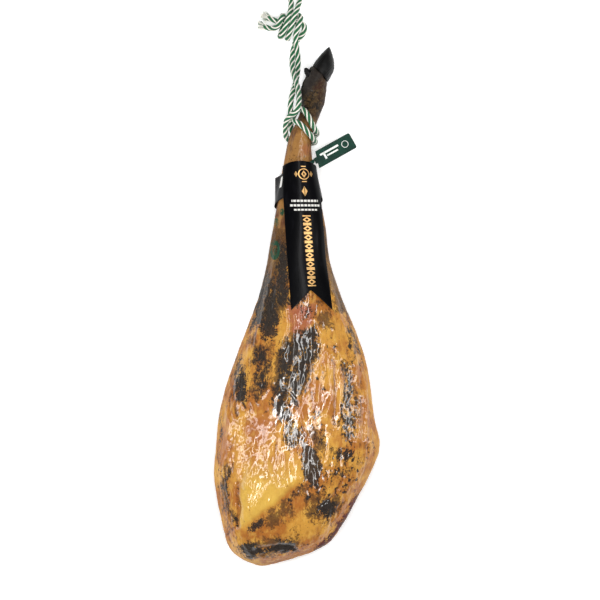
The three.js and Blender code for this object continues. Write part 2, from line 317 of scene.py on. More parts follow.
# %% The rope's route
ROPE_DIAMETER = 8.5 * MM
ROPE_ROUTE_MM = [
    # a tail and two turns of the knot
    (-50, 425, 4.8), (-42, 422, 8), (-34, 421.5, 15), (-28.5, 425, 20.5), (-25, 433, 21.3),
    (-21.5, 441, 14), (-20, 437.5, 5.8), (-21, 427, 4.7), (-24, 416, 5), (-26, 408.5, 10),
    (-22.5, 409.5, 17.5), (-17.6, 423, 21.9), (-13, 437, 20.6), (-9.5, 450, 11.5),
    # the eye
    (-9, 463, 5.2), (-12.5, 478, 4.7), (-18.5, 492, 4.7), (-17, 506, 4.7), (-3, 513.5, 4.7),
    (11, 506, 4.7), (13, 492, 4.7), (7.5, 478, 4.7), (3.5, 463, 5.7),
    # two more turns of the knot
    (0, 450, 16), (-4.6, 438, 21.8), (-8.1, 424, 22), (-12.3, 411.5, 18), (-14.5, 405, 10.8),
    (-13, 411, 5), (-10, 422, 4.7), (-6, 434, 5), (-0.5, 441, 8.6), (5.5, 438.5, 16.5),
    (2.5, 425, 22), (-1.5, 413, 18),
    # the first strand of the pair
    (-2, 403, 14), (-0.2, 389, 11.8), (1.5, 372, 10.5), (0.6, 354, 16), (-2.5, 336, 28.5),
    (-6.5, 321.5, 42), (-9, 309, 49),
    # the hitch round the hock
    (-10, 297, 52), (-9.2, 287.5, 52.5), (-6, 280.5, 56.5), (-1.5, 276.5, 65.5), (6, 271.5, 71),
    (13, 264, 71.6), (20, 256.5, 66.4), (25, 250.5, 56), (27.3, 247.5, 42), (24.5, 246.5, 29),
    (17, 247, 20.5), (8, 250.5, 18.8), (-1, 257, 18.6), (-8, 266, 20.5), (-9.5, 275, 27),
    (-6.5, 283.5, 36), (-2.5, 290.5, 44.5), (1, 295.5, 53.5), (6, 296, 62.8), (12.5, 291, 69.3),
    (18.5, 280.4, 71.5), (23.5, 270.5, 67.5), (28.2, 263.5, 56), (30.2, 260.5, 43), (28, 258.5, 29),
    (20, 256.5, 17.5), (10, 253.5, 10.2), (0, 250.5, 9.8), (-9, 250.5, 16), (-15.7, 255, 26.5),
    (-17.2, 262, 37), (-17.2, 270.5, 47.5), (-15.2, 279.5, 57.5), (-9.8, 285.5, 65), (-3, 289, 71),
    (1.2, 295, 73), (2.6, 303.5, 68.8),
    # the second strand of the pair
    (2.8, 314, 60), (1.2, 327, 49.5), (-2.5, 342, 35.3), (-6.3, 357.5, 21.5), (-7.4, 373, 10.5),
    (-5.8, 389, 5.4), (-1.5, 402.5, 4.8),
    # the bulge of the knot and the tail through its turns
    (6.5, 410.5, 7), (11.3, 419, 11.5), (10, 427, 12.6), (2.5, 429.8, 12.8), (-8, 429, 13.1),
    (-24, 430.5, 13.2), (-35, 434, 10.5), (-44, 438, 6),
]


# %% A smooth line by the route's points
CURVE_SHARES = 40  # places worked out between two points of the route
EASINGS = 8


def smooth_route(through, step):
    """A centripetal Catmull-Rom curve by the points, a step apart, with its kinks eased."""
    p = np.array(through, float)
    p = np.vstack([2 * p[0] - p[1], p, 2 * p[-1] - p[-2]])
    share = np.linspace(0, 1, CURVE_SHARES, endpoint=False)[:, None]
    fine = []
    for a, b, c, d in zip(p, p[1:], p[2:], p[3:]):
        before, here, after = (math.dist(*pair) ** 0.5 for pair in ((a, b), (b, c), (c, d)))
        start = ((b - a) / before - (c - a) / (before + here) + (c - b) / here) * here
        end = ((c - b) / here - (d - b) / (here + after) + (d - c) / after) * here
        fine.append(
            b
            + start * share
            + (3 * (c - b) - 2 * start - end) * share**2
            + (2 * (b - c) + start + end) * share**3
        )
    fine = np.vstack([*fine, p[-2]])
    gone = np.concatenate([[0], np.cumsum(np.linalg.norm(np.diff(fine, axis=0), axis=1))])
    at = np.linspace(0, gone[-1], round(gone[-1] / step) + 1)
    line = np.column_stack([np.interp(at, gone, fine[:, axis]) for axis in range(3)])
    for _ in range(EASINGS):
        line[1:-1] = line[1:-1] / 2 + (line[:-2] + line[2:]) / 4
    return line


ROPE_STEP = 1.25 * MM
rope_line = smooth_route(np.array(ROPE_ROUTE_MM) * MM, ROPE_STEP)
ROPE_LENGTH = np.linalg.norm(np.diff(rope_line, axis=0), axis=1).sum()
print(f"rope: {ROPE_LENGTH:.3f} m in {len(rope_line)} steps")

# %% [markdown]
# ## Sweeping the rope
# The rope is laid from three strands, each of a wide green yarn and a narrower white one, so
# its section shows six plump lobes of alternate colours. A frame is carried along the route
# without twisting, and the section is turned in it by one full turn for each lay of the rope.
# Forty-eight points go round the section, so that every groove between two yarns falls on a
# row of points and the two materials meet exactly there.

# %% The rope's yarns
YARN_POINTS = (10, 6)  # points round a green yarn and round a white one
STRANDS = 3
POINTS_AROUND = STRANDS * sum(YARN_POINTS)
ROPE_LAY = 37.5 * MM
GROOVE_DEPTH = 0.2  # as a share of the rope's radius
PLUMPNESS = 0.6  # the lower, the fuller a yarn's crown
FUZZ = 0.012  # how unevenly the fibres stand, as a share of the radius
FULL_TURN = 2 * math.pi


def carried_frames(line):
    """For each point of a line: two directions square to it, which don't twist."""
    along = np.gradient(line, axis=0)
    along /= np.linalg.norm(along, axis=1)[:, None]
    side = np.zeros_like(line)
    side[0] = np.cross(along[0], (0.3, 0.1, 1.0))
    for i in range(1, len(line)):
        side[i] = side[i - 1] - along[i] * (side[i - 1] @ along[i])
        side[i] /= np.linalg.norm(side[i])
    side[0] /= np.linalg.norm(side[0])
    return side, np.cross(along, side)


def swept(line, angles, reach):
    """Rings of points round a line; angles and reach hold a row for each ring."""
    side, up = carried_frames(line)
    return (
        line[:, None]
        + side[:, None] * (np.cos(angles) * reach)[..., None]
        + up[:, None] * (np.sin(angles) * reach)[..., None]
    )


def ring_faces(rings, around):
    """The quads between neighbouring rings of a swept tube."""
    ring, spot = np.meshgrid(np.arange(rings - 1), np.arange(around), indexing="ij")
    here, beside = ring * around + spot, ring * around + (spot + 1) % around
    return np.stack([here, beside, beside + around, here + around], -1).reshape(-1, 4)


# %% [markdown]
# ## The yarn's finish
# Both yarns are spun from the same coarse fibre, so one function makes the two finishes. The
# rope's own UV map counts yarns across and metres along, so that the fibres follow the lay, and
# the attribute `groove` tells how deep between two yarns a point lies, where painted shade
# darkens the yarn.


# %% Yarn finishes
def yarn_finish(name, light, dark):
    """Spun yarn: fine fibres that run along it, and painted shade that darkens it from its crown
    into the groove.
    """
    finish = Finish(name, roughness=0.85, Sheen_Weight=0.35, Sheen_Roughness=0.4)
    spun = finish.node("ShaderNodeUVMap", {"uv_map": "yarn"})
    fibres = finish.noise(
        finish.node("ShaderNodeMapping", {}, {"Vector": spun, "Scale": (9, 260, 1)}), 1, 3, 0.6
    )
    plies = finish.noise(
        finish.node("ShaderNodeMapping", {}, {"Vector": spun, "Scale": (3, 900, 1)}), 1, 1
    )
    soil = finish.noise(finish.place(), 60, 3)
    groove = finish.attribute("groove")
    # the groove's share is painted shade between the yarns; the fibres and the soil are the yarn's
    # own tone
    shade = (groove * 0.6 + (1 - fibres) * 0.5 + soil * 0.25 - 0.2).ramp(0.05, 0.95)
    finish.set(Base_Color=finish.mix(light, dark, shade), Roughness=0.75 + fibres * 0.2)
    finish.set(Normal=finish.bump(fibres * 0.7 + plies * 0.3, 0.5 * MM, 0.8))
    return finish


GREEN_YARN = yarn_finish("green_yarn", colour(18, 100, 58), colour(4, 42, 24))
WHITE_YARN = yarn_finish("white_yarn", colour(246, 244, 234), colour(176, 170, 150))
print("yarns:", GREEN_YARN.material.name, "and", WHITE_YARN.material.name)


# %% [markdown]
# ## The rope's mesh
# The rings of points are joined by quads and closed by a fan at each end. Each quad is given
# to the green or the white yarn by where it lies in the section. A ring's last point meets its
# first, so the UV map is set corner by corner, and no quad runs backwards round the rope.


# %% The laid rope
FUZZ_SEED = 4


def make_rope():
    rings = len(rope_line)
    turn = np.arange(POINTS_AROUND) / POINTS_AROUND * FULL_TURN
    twist = np.arange(rings) * ROPE_STEP / ROPE_LAY * FULL_TURN
    crowns = [np.sin(np.arange(count) / count * math.pi) ** PLUMPNESS for count in YARN_POINTS]
    lobes = np.tile(np.concatenate(crowns), STRANDS)
    reach = ROPE_DIAMETER / 2 * (1 - GROOVE_DEPTH + GROOVE_DEPTH * lobes)
    rng = np.random.default_rng(FUZZ_SEED)
    reach = reach[None] * (1 + rng.normal(0, FUZZ, (rings, POINTS_AROUND)))
    points = swept(rope_line, turn[None] + twist[:, None], reach).reshape(-1, 3)
    faces = ring_faces(rings, POINTS_AROUND)
    middles = len(points) + np.arange(2)
    points = np.vstack([points, rope_line[[0, -1]]])
    spots = np.arange(POINTS_AROUND)
    after = (spots + 1) % POINTS_AROUND
    last = (rings - 1) * POINTS_AROUND
    caps = [(middles[0], b, a) for a, b in zip(spots, after)]
    caps += [(middles[1], a, b) for a, b in zip(last + spots, last + after)]
    mesh = bpy.data.meshes.new("hanging_rope_laid")
    mesh.from_pydata(points.tolist(), [], faces.tolist() + [tuple(map(int, c)) for c in caps])
    yarn = np.tile(spots, rings - 1) % sum(YARN_POINTS) >= YARN_POINTS[0]
    mesh.polygons.foreach_set(
        "material_index", np.concatenate([yarn, np.ones(len(caps), int)]).astype(np.int32)
    )
    groove = mesh.attributes.new("groove", "FLOAT", "POINT")
    deep = np.concatenate([np.tile(1 - lobes, rings), np.ones(2)])
    groove.data.foreach_set("value", deep.astype(np.float32))
    corner = np.zeros(len(mesh.loops), np.int32)
    mesh.loops.foreach_get("vertex_index", corner)
    around = np.where(corner < last + POINTS_AROUND, corner % POINTS_AROUND, 0)
    along = np.where(corner < last + POINTS_AROUND, corner // POINTS_AROUND, 0)
    starts = np.repeat(faces[:, 0] % POINTS_AROUND, 4)
    around[: len(starts)] = starts + (around[: len(starts)] != starts)
    uv = np.column_stack([around / POINTS_AROUND * 2 * STRANDS, along * ROPE_STEP])
    layer = mesh.uv_layers.new(name="yarn")
    layer.uv.foreach_set("vector", uv.astype(np.float32).ravel())
    return piece("hanging_rope_laid", mesh, [GREEN_YARN, WHITE_YARN], ["hanging_rope"])


rope = make_rope()

# %% [markdown]
# ## The frayed tails
# A rope that was cut with a knife opens at its ends. Each tail gets a tuft: a few dozen loose
# fibres that leave the rope's end together, spread, and droop on to the table. Every fibre is a
# thin tube of five sides that ends in a point, and all of a tuft's fibres are one mesh.

# %% Frayed tails
FIBRE_SIDES = 5
FIBRE_STEPS = 9
FIBRE_DROOP = 5 * MM
FIBRE_LOWEST = 0.5 * MM
GREEN_SHARE = 0.22


def make_tuft(name, end, inwards, fibres, reach, spread, seed):
    rng = np.random.default_rng(seed)
    heading = (end - inwards) / np.linalg.norm(end - inwards)
    points, faces, shades = [], [], []
    for _ in range(fibres):
        share = np.linspace(0, 1, FIBRE_STEPS)[:, None]
        away = rng.normal(0, 1, 3) * spread * (0.3, 1.0, 0.45)
        curl = rng.normal(0, 1, 3) * spread * 0.6 * (1, 1, 0.4)
        root = end - heading * 3 * MM + rng.normal(0, 1.5 * MM, 3)
        length = reach * rng.uniform(0.45, 1.0)
        line = root + (heading * length + away) * share + curl * np.sin(share * 3.1) * share
        line[:, 2] -= FIBRE_DROOP * share[:, 0] ** 2
        line[:, 2] = np.maximum(line[:, 2], FIBRE_LOWEST)
        thick = rng.uniform(0.3, 0.55) * MM * (1 - 0.75 * share**2)
        turn = np.linspace(0, FULL_TURN, FIBRE_SIDES, endpoint=False)[None]
        rings = swept(line, np.repeat(turn, FIBRE_STEPS, 0), np.repeat(thick, FIBRE_SIDES, 1))
        first = len(points) * FIBRE_STEPS * FIBRE_SIDES
        points.append(rings.reshape(-1, 3))
        own = (ring_faces(FIBRE_STEPS, FIBRE_SIDES) + first).tolist()
        own.append([first + k for k in reversed(range(FIBRE_SIDES))])
        own.append([first + (FIBRE_STEPS - 1) * FIBRE_SIDES + k for k in range(FIBRE_SIDES)])
        faces += own
        shades += [int(rng.random() < GREEN_SHARE)] * len(own)
    mesh = bpy.data.meshes.new(name)
    mesh.from_pydata(np.vstack(points).tolist(), [], faces)
    mesh.uv_layers.new(name="yarn")
    mesh.attributes.new("groove", "FLOAT", "POINT")
    mesh.polygons.foreach_set("material_index", np.array(shades, np.int32))
    return piece(name, mesh, [WHITE_YARN, GREEN_YARN])


tufts = [
    make_tuft("frayed_tail_lower", rope_line[0], rope_line[6], 120, 16 * MM, 3.2 * MM, 11),
    make_tuft("frayed_tail_upper", rope_line[-1], rope_line[-7], 140, 16 * MM, 3.6 * MM, 12),
]

# %% [markdown]
# ## The leg as clay
# The leg's solid has the right outline but large flat faces. A voxel remesh turns a copy of it
# into an even skin of small quads, about 2 mm wide, as fine as a sculptor's clay needs to be.
# Smoothing takes the flats away. Later the points of this skin are moved and marked in code.


# %% Remeshing
LEG_VOXEL = 2.0 * MM
LEG_SMOOTHINGS = 9


def remeshed(node, voxel, smoothings):
    """A solid as an even skin of quads, a voxel wide, with its edges softened."""
    rough = mesh_from(merged_copy(node), node + "_rough")
    block = bpy.data.objects.new(node + "_rough", rough)
    bpy.context.scene.collection.objects.link(block)
    remesh = block.modifiers.new("voxels", "REMESH")
    remesh.mode = "VOXEL"
    remesh.voxel_size = voxel
    graph = bpy.context.evaluated_depsgraph_get()
    fine = bpy.data.meshes.new_from_object(block.evaluated_get(graph))
    bpy.data.objects.remove(block)
    bm = bmesh.new()
    bm.from_mesh(fine)
    for _ in range(smoothings):
        bmesh.ops.smooth_vert(
            bm, verts=bm.verts, factor=0.5, use_axis_x=True, use_axis_y=True, use_axis_z=True
        )
    print(f"{node}: {len(bm.faces)} faces after the remesh")
    return bm


def places_and_normals(mesh):
    """Where a mesh's points are, in millimetres, and which way each of them faces."""
    flat = np.zeros((2, len(mesh.vertices) * 3), np.float32)
    mesh.vertices.foreach_get("co", flat[0])
    mesh.vertex_normals.foreach_get("vector", flat[1])
    places, normals = flat.reshape(2, -1, 3).astype(float)
    return places / MM, normals


def move_points(mesh, places):
    mesh.vertices.foreach_set("co", (places * MM).astype(np.float32).ravel())
    mesh.update()


leg_mesh = mesh_from(remeshed("ham_leg", LEG_VOXEL, LEG_SMOOTHINGS), "ham_leg_cured")
SKIN, FACING = places_and_normals(leg_mesh)

# %% [markdown]
# ## Tools for a sculptor in code
# Everything that is pressed into the leg or stained on it is drawn from above, in millimetres.
# `stroke` and `patch` measure how far each point of the skin is from a drawn line or the edge
# of a drawn area, with less than nothing inside. `clouds` is soft noise at a given size. The
# place is first pushed about by noise, because nothing on dried fat has a ruler's edge.


# %% Drawing tools
def clouds(points, size, seed=0, octaves=3, stretch=(1, 1, 1)):
    """Fractal noise from about -1 to 1, its largest lumps about size across."""
    scaled = points / (np.array(stretch) * size) + seed * 17.3
    return np.array([noise.fractal(p, 0.9, 2.1, octaves) for p in scaled.tolist()])


def smooth_step(value, low, high):
    share = np.clip((value - low) / (high - low), 0, 1)
    return share * share * (3 - 2 * share)


def pushed(points, amount, size, seed):
    """The places seen from above, each pushed by noise."""
    pushes = [clouds(points, size, seed + k, 2) for k in range(2)]
    return points[:, :2] + amount * np.column_stack(pushes)


def stroke(places, line, width=0.0):
    line = np.array(line, float)
    nearest = np.full(len(places), 1e9)
    for start, end in zip(line, line[1:]):
        way = end - start
        share = np.clip((places - start) @ way / (way @ way), 0, 1)
        gap = np.linalg.norm(places - start - share[:, None] * way, axis=1)
        nearest = np.minimum(nearest, gap)
    return nearest - width / 2


def patch(places, outline):
    outline = np.array(outline, float)
    x, y = places.T
    inside = np.zeros(len(places), bool)
    for (ax, ay), (bx, by) in zip(outline, np.roll(outline, -1, axis=0)):
        if ay != by:
            inside ^= ((ay > y) != (by > y)) & (x < (bx - ax) * (y - ay) / (by - ay) + ax)
    edge = stroke(places, np.vstack([outline, outline[:1]]))
    return np.where(inside, -edge, edge)


def mark(distance, strength, soft):
    """How strongly a drawn shape marks each point: strength inside it, fading over soft."""
    return strength * smooth_step(-distance, -soft / 2, soft / 2)


UPPER = smooth_step(FACING[:, 2], -0.15, 0.25)
print(f"skin: {len(SKIN)} points, {np.mean(UPPER > 0.5):.0%} of them face up")

# %% [markdown]
# ## Folds, ridges and creases
# The fat of a cured ham dries and shrinks over the muscles, so it stands in long ridges that
# run with the leg, with a few deep creases between the muscle groups. Each ridge is a drawn
# line that lifts the skin near it; a crease is a line that presses it in. Broad lumps and fine
# wrinkles, stretched along the leg, cover all the rest.

# %% Lines of the ridges and creases
RIDGES = [  # height, half width, line
    (1.9, 6.5, [(-18.6, -4), (-18.6, -33.7), (-20.3, -60)]),
    (1.0, 5.5, [(19.3, -14), (12.4, -42)]),
    (1.2, 6.5, [(-31.5, -80), (-34, -110)]),
    (1.0, 6.0, [(-44.4, -122), (-56.5, -142)]),
    (1.5, 7.0, [(22.8, -84), (17.6, -111), (7.3, -131.8), (7.3, -165)]),
    (1.7, 6.0, [(48.6, -70), (48.6, -111), (49.5, -137), (45, -160)]),
    (1.8, 6.5, [(67.5, -92), (64, -133.5), (65.8, -168)]),
    (1.6, 5.0, [(100.2, -105), (102.8, -145.6), (104.6, -190)]),
    (1.4, 6.0, [(92.5, -152), (91.6, -194)]),
    (1.5, 5.5, [(-103, -155), (-102.6, -183.4), (-104.4, -210)]),
    (2.6, 9.0, [(-63.7, -194), (-67.2, -222.3), (-67.2, -240), (-72.5, -266)]),
    (1.3, 6.0, [(-41.6, -203), (-44.2, -240)]),
    (1.4, 6.5, [(-35, -257), (-49.5, -277.2), (-60, -294)]),
    (1.2, 5.0, [(-19, -212), (-19, -252)]),
    (1.3, 5.5, [(46.9, -192), (44.3, -235)]),
    (1.2, 5.0, [(31, -20), (38, -60), (36, -100), (30, -140)]),
    (1.1, 5.0, [(-6, -12), (-4, -60), (-8, -100), (-16, -140)]),
    (1.0, 6.0, [(82, -40), (88, -90), (84, -140)]),
    (1.0, 6.0, [(-84, -190), (-88, -240), (-84, -290)]),
    (1.2, 7.0, [(-20, 205), (-22, 170), (-30, 120), (-36, 60), (-50, 0), (-62, -40)]),
    (1.0, 6.0, [(30, 150), (38, 90), (52, 30), (66, -20)]),
]
CREASES = [  # depth, half width, line
    (3.0, 5.0, [(-86.7, -262), (-87.5, -295), (-86.3, -330)]),
    (1.5, 4.0, [(-90, -330), (-108, -342.7)]),
    (1.6, 8.0, [(-66, -366), (-46, -358), (-28, -354), (-4, -361)]),
    (1.6, 4.0, [(-17, -120), (-2, -138), (8, -165), (14, -200)]),
    (1.4, 4.0, [(57, -84), (56, -130), (56, -175)]),
    (1.5, 5.0, [(-98, -95), (-96, -130), (-88, -160)]),
    (1.2, 4.0, [(-30, -190), (-33, -240), (-26, -262)]),
    (1.4, 5.0, [(72, -250), (56, -280), (30, -300)]),
]
STEP_LINE = [(14, -252), (-14, -279), (-38.9, -299), (-61.9, -317), (-85, -330.3)]
print(f"{len(RIDGES)} ridges, {len(CREASES)} creases")


# %% [markdown]
# ## Moving the skin
# All the lifts are added up first, in millimetres, and then every point is moved once along
# its normal. The lean side lies flat, so the lift fades out towards the table, and nothing
# may leave the solid's box. The hide swells where it meets the horn, along a slanting line.

# %% Sculpting
CORONET_AT = (34.5, 350.5, 0)
CORONET_SLOPE = math.radians(48)  # the slant at which the horn meets the hide
CORONET_WAY = np.array([-math.sin(CORONET_SLOPE), math.cos(CORONET_SLOPE), 0])
PAST_CORONET = (SKIN - CORONET_AT) @ CORONET_WAY


def broad_relief(skin):
    return 1.6 * clouds(skin, 62, 3, 2, (0.7, 2.0, 1)) - 0.6


def sculpt(skin, upper):
    """How far each point of the skin moves along its normal, in millimetres."""
    drawn = pushed(skin, 3.0, 28, 1)
    lift = broad_relief(skin) + 0.5 * clouds(skin, 17, 4, 2, (0.6, 2.6, 1))
    broken = 0.65 + 0.5 * clouds(skin, 30, 5, 2)
    for height, half, line in RIDGES:
        near = np.exp(-((stroke(drawn, line) / (0.62 * half)) ** 2))
        lift += upper * 1.5 * height * near * broken
    for depth, half, line in CREASES:
        lift -= upper * depth * np.exp(-((stroke(drawn, line) / (0.5 * half)) ** 2))
    wedge = patch(drawn, STEP_LINE + [(-84, -262), (-60, -200), (0, -200)])
    lift += upper * 2.6 * smooth_step(-wedge, 0, 10) * smooth_step(skin[:, 1], -195, -262)
    wrinkles = 1 - np.abs(clouds(skin, 10, 6, 3, (0.8, 2.6, 0.8))) * 2
    body = 1 - smooth_step(skin[:, 1], 60, 200)
    lift += 0.45 * body * (0.5 - 2 * np.abs(clouds(skin, 13, 9, 2, (0.5, 4.5, 1))))
    lift += (0.3 * body + 0.15) * (wrinkles - 0.5)
    foot = smooth_step(skin[:, 1], 255, 300)
    lift += foot * (0.9 * clouds(skin, 9, 7, 3, (1.6, 0.8, 1)) - 0.4)
    lift += 2.7 * smooth_step(PAST_CORONET, -12, -2.5)
    shank = smooth_step(skin[:, 1], 60, 130) * (1 - foot)
    lift += shank * 0.5 * (1 - 2 * np.abs(clouds(skin, 12, 8, 2, (0.6, 3.0, 0.6))))
    return lift * (0.55 + 0.45 * upper)


LIFT = sculpt(SKIN, UPPER)
off_table = smooth_step(SKIN[:, 2], 1.0, 6.0)
moved = SKIN + FACING * (LIFT * off_table)[:, None]
moved[:, 2] = np.maximum(moved[:, 2], 0)
moved = np.clip(moved, np.array(LEG_LOW) / MM, np.array(LEG_HIGH) / MM)
move_points(leg_mesh, moved)
print(f"skin moved by {LIFT.min():.1f} to {LIFT.max():.1f} mm")

# %% [markdown]
# ## Stains of mould, smoke and bloom
# Months in a cellar leave charcoal-coloured mould, olive-brown patches and clean yellow fat.
# Each kind of stain is an attribute: a number at every point of the skin, made from drawn
# strokes and patches. The numbers only say how likely the stain is. The material decides the
# ragged edge with fine noise, far finer than the 2 mm points.

# %% Where the mould is
CHAR = [  # strength, width, line
    (0.62, 14, [(-49.6, 9.4), (-44, -6)]),
    (0.5, 12, [(-54.7, -21.6), (-53, -35.4), (-44.4, -49.1)]),
    (0.55, 7, [(12.4, -256), (2, -266), (-9, -281)]), (0.62, 6, [(86.5, -133.5), (90, -156)]),
    (0.5, 8, [(76, -20), (83, -47.4), (88.2, -59.5), (91.6, -68)]),
    (0.72, 8, [(70.8, -176), (74.4, -197.6)]), (0.7, 6, [(46, -243.6), (42.5, -266.6)]),
    (0.62, 4, [(-7.9, -284.3), (-10.6, -300.2)]), (0.8, 6, [(17.7, -281), (18, -284)]),
    (0.72, 6, [(-116.8, -160), (-115.9, -204.7), (-117.6, -231.2), (-111.5, -266.6)]),
    (0.7, 7, [(-95.5, -310.8), (-91, -325)]), (0.62, 5, [(-111.6, -149), (-114, -171)]),
    (0.65, 7, [(-84, -272), (-86, -300), (-85, -328)]),
    (0.5, 12, [(16, 20), (14, 2), (20, -12)]), (0.55, 6, [(72, -92), (76, -130), (74, -190)]),
    (0.6, 10, [(-34, 84), (-30, 50), (-26, 14)]), (0.62, 12, [(-58, 22), (-52, 0), (-40, -26)]),
    (0.5, 8, [(60, 30), (66, 4)]), (0.5, 6, [(104, -195), (108, -214)]),
    (0.55, 5, [(97, -40), (102, -64)]), (0.5, 6, [(70, 10), (84, -30), (94, -80)]),
]
CHAR_PATCHES = [  # strength, outline
    (0.78, [(-34.1, -60), (-10, -55), (12, -30), (34.8, -26), (32, -60), (18, -92), (6, -126),
            (-5.7, -132), (-20.3, -97.4)]),
    (0.92, [(-39, -130), (-22, -140), (-4.8, -157.6), (-11.7, -171), (-28.9, -166), (-41, -154)]),
    (0.92, [(-12, -160), (6, -176), (12, -196), (2, -212), (-17, -213), (-20, -195)]),
    (1.1, [(6, -196), (20, -206), (33, -218.8), (37, -240), (35.4, -258), (21.3, -263),
           (8.9, -256), (7, -230)]),
    (0.88, [(-88, -70), (-82, -94), (-74, -104), (-73, -126), (-78, -147), (-90.9, -140),
            (-94, -121.5), (-90, -100.8)]),
    (0.56, [(44.3, -206), (70.8, -209), (93.8, -210), (90.3, -234.7), (70.8, -229), (49.6, -238)]),
    (0.82, [(31.9, -282), (49.6, -283), (64, -291), (56, -309), (39, -321), (30, -309), (19, -309),
            (28, -298)]),
    (0.72, [(-77.8, -323), (-53, -311), (-46, -318), (-62, -339), (-73, -339)]),
    (0.85, [(-92, -360), (-77.8, -352), (-60, -350), (-62, -365), (-31.8, -355), (-24.7, -347),
            (-7, -347), (-1.7, -362), (-14, -370), (-31.8, -365), (-46, -370), (-79, -376)]),
    (0.52, [(-66.8, -56), (-41, -59.5), (-37.5, -87), (-41, -119.8), (-60, -140), (-68.5, -124.9)]),
    (0.5, [(24, -150), (40, -150), (46, -200), (30, -212)]),
    (0.8, [(-33, 104), (-10, 96), (-10, 4), (-24, -4), (-34, 20)]),
    (0.64, [(-30, -58), (-12, -45), (10, -36), (32, -26), (36, -58), (22, -95), (8, -130),
            (-6, -152), (-24, -150), (-36, -124), (-26, -92)]),
    (0.38, [(40, 110), (46, 110), (62, 40), (82, -20), (62, -12), (46, 40)]),
    (0.82, [(-62, 30), (-46, 62), (-32, 40), (-25, -10), (-26, -38), (-46, -56), (-72, -30)]),
    (0.5, [(-14, 28), (20, 26), (26, -6), (12, -14), (-4, 4)]),
    (0.3, [(40, -215), (90, -215), (86, -280), (40, -284), (22, -268)]),
    (0.66, [(64, -76), (84, -80), (90, -195), (64, -195)]),
    (0.55, [(-108, -236), (-98, -240), (-97, -318), (-108, -300)]),
]
DOTS = [  # small round spots
    (58.4, -240), (65.5, -245.3), (84.1, -240.9), (90.3, -256.9), (77, -256), (72.6, -264.8),
    (58.4, -270.1), (46, -273.7), (78, -212), (52, -224), (62, -218), (84, -226), (68, -250),
    (92, -246), (70, -278), (40, -120), (30, -105), (56, -60), (80, -58), (46, -60), (-12, -285),
]
print(f"mould: {len(CHAR)} strokes, {len(CHAR_PATCHES)} patches, {len(DOTS)} dots")

# %% Where the bloom, the clean fat and the meat are
BROWN = [
    (0.85, 13, [(68.4, -87), (74.4, -121.5), (72.7, -145.6), (72.7, -171.4), (74.4, -192)]),
    (0.8, 20, [(26.6, -183.4), (33.7, -197.6), (35.4, -211.7)]),
    (0.7, 12, [(88, -125), (91, -165)]),
    (0.8, 16, [(-106, -236.5), (-106, -277.2), (-102.6, -302), (-93.8, -316)]),
    (0.75, 24, [(-14, -300), (-13, -303)]), (0.7, 14, [(30, -262), (40, -280), (30, -300)]),
    (0.7, 12, [(-54.7, -21.6), (-53, -35.4), (-44.4, -49.1), (-37.5, -64.6)]),
    (0.8, 14, [(-58, 30), (-54, 0), (-44, -26)]), (0.8, 14, [(-33, 96), (-30, 50), (-24, 6)]),
    (0.65, 18, [(74, 10), (80, -30), (90, -70)]), (0.7, 18, [(-62, -10), (-70, -50)]),
    (0.75, 14, [(14, -262), (-10, -284), (-40, -306)]),
    (0.35, 16, [(45, -240), (56, -262), (60, -285)]),
]
BROWN_PATCHES = [
    (0.9, [(-30, -50), (30, -20), (38, -60), (22, -98), (8, -136), (-24, -154), (-38, -124)]),
    (0.8, [(-72, -52), (-38, -56), (-34, -90), (-38, -122), (-60, -144), (-73, -126), (-68, -94)]),
    (0.5, [(40, -202), (74, -205), (98, -208), (95, -240), (72, -262), (46, -250)]),
    (0.85, [(-49.5, -317), (-24.7, -294), (-12, -302), (-24, -325), (-44, -336)]),
    (0.85, [(24, -5), (54, -6), (56, -36), (28, -34)]),
    (1.15, [(36, 120), (48, 120), (64, 40), (84, -16), (58, -8), (44, 40)]),
    (1.1, [(-38, 120), (-12, 110), (-10, 10), (-30, -30), (-70, -30), (-62, 20)]),
    (0.85, [(-94, -66), (-78, -90), (-70, -104), (-70, -128), (-78, -152), (-95, -140)]),
    (0.8, [(12, -275), (60, -275), (72, -292), (58, -316), (36, -326), (10, -314)]),
    (0.8, [(-98, -358), (-60, -342), (4, -342), (2, -368), (-40, -378), (-82, -382)]),
]
PALE_PATCHES = [
    (1.0, [(-85, -329), (-84, -285), (-84, -200), (-40, -190), (2, -200), (8, -252), (-14, -274),
           (-38, -294), (-62, -313)]),
    (0.5, [(62, -10), (92, -70), (100, -120), (88, -120), (70, -70), (56, -30)]),
]
PINK_PATCHES = [
    (1.0, [(-17, 4), (24.5, 6), (24.5, -13), (10.7, -40), (0.4, -52), (-10, -38)]),
    (0.4, [(-66, -160), (-24, -170), (-20, -196), (-60, -200), (-84, -182)]),
    (0.8, [(-1.6, 34), (16, 34), (15, 6), (-1, 6)]),
    (0.6, [(6, 246), (20, 246), (20, 224), (6, 224)]),
]
LEAN_RIM = [(30, -362), (47.8, -348), (60.2, -333.8), (74.4, -312.6), (81.4, -298.4),
            (90.3, -284.3)]
print(f"bloom: {len(BROWN)} strokes, {len(BROWN_PATCHES)} patches")

# %% [markdown]
# ## Painting the stains
# `painted` takes the strongest of all the strokes and patches at each point. Points that face
# sideways or down get a floor of the mould and bloom colours, varied by clouds of noise, the
# hollows between ridges are darkened as painted shade, and the attributes that follow the leg's
# length mark the shank, the hide of the foot, the band above the horn and the lean meat underneath.


# %% Painting
def painted(places, strokes=(), patches=(), soft=17.0):
    shown = np.zeros(len(places))
    for strength, width, line in strokes:
        shown = np.maximum(shown, mark(stroke(places, line, width), strength, soft))
    for strength, outline in patches:
        shown = np.maximum(shown, mark(patch(places, outline), strength, soft))
    return shown


def stain(mesh, name, values):
    layer = mesh.attributes.new(name, "FLOAT", "POINT")
    layer.data.foreach_set("value", values.astype(np.float32))
    print(f"{name}: {np.mean(values > 0.4):.0%} of the points")


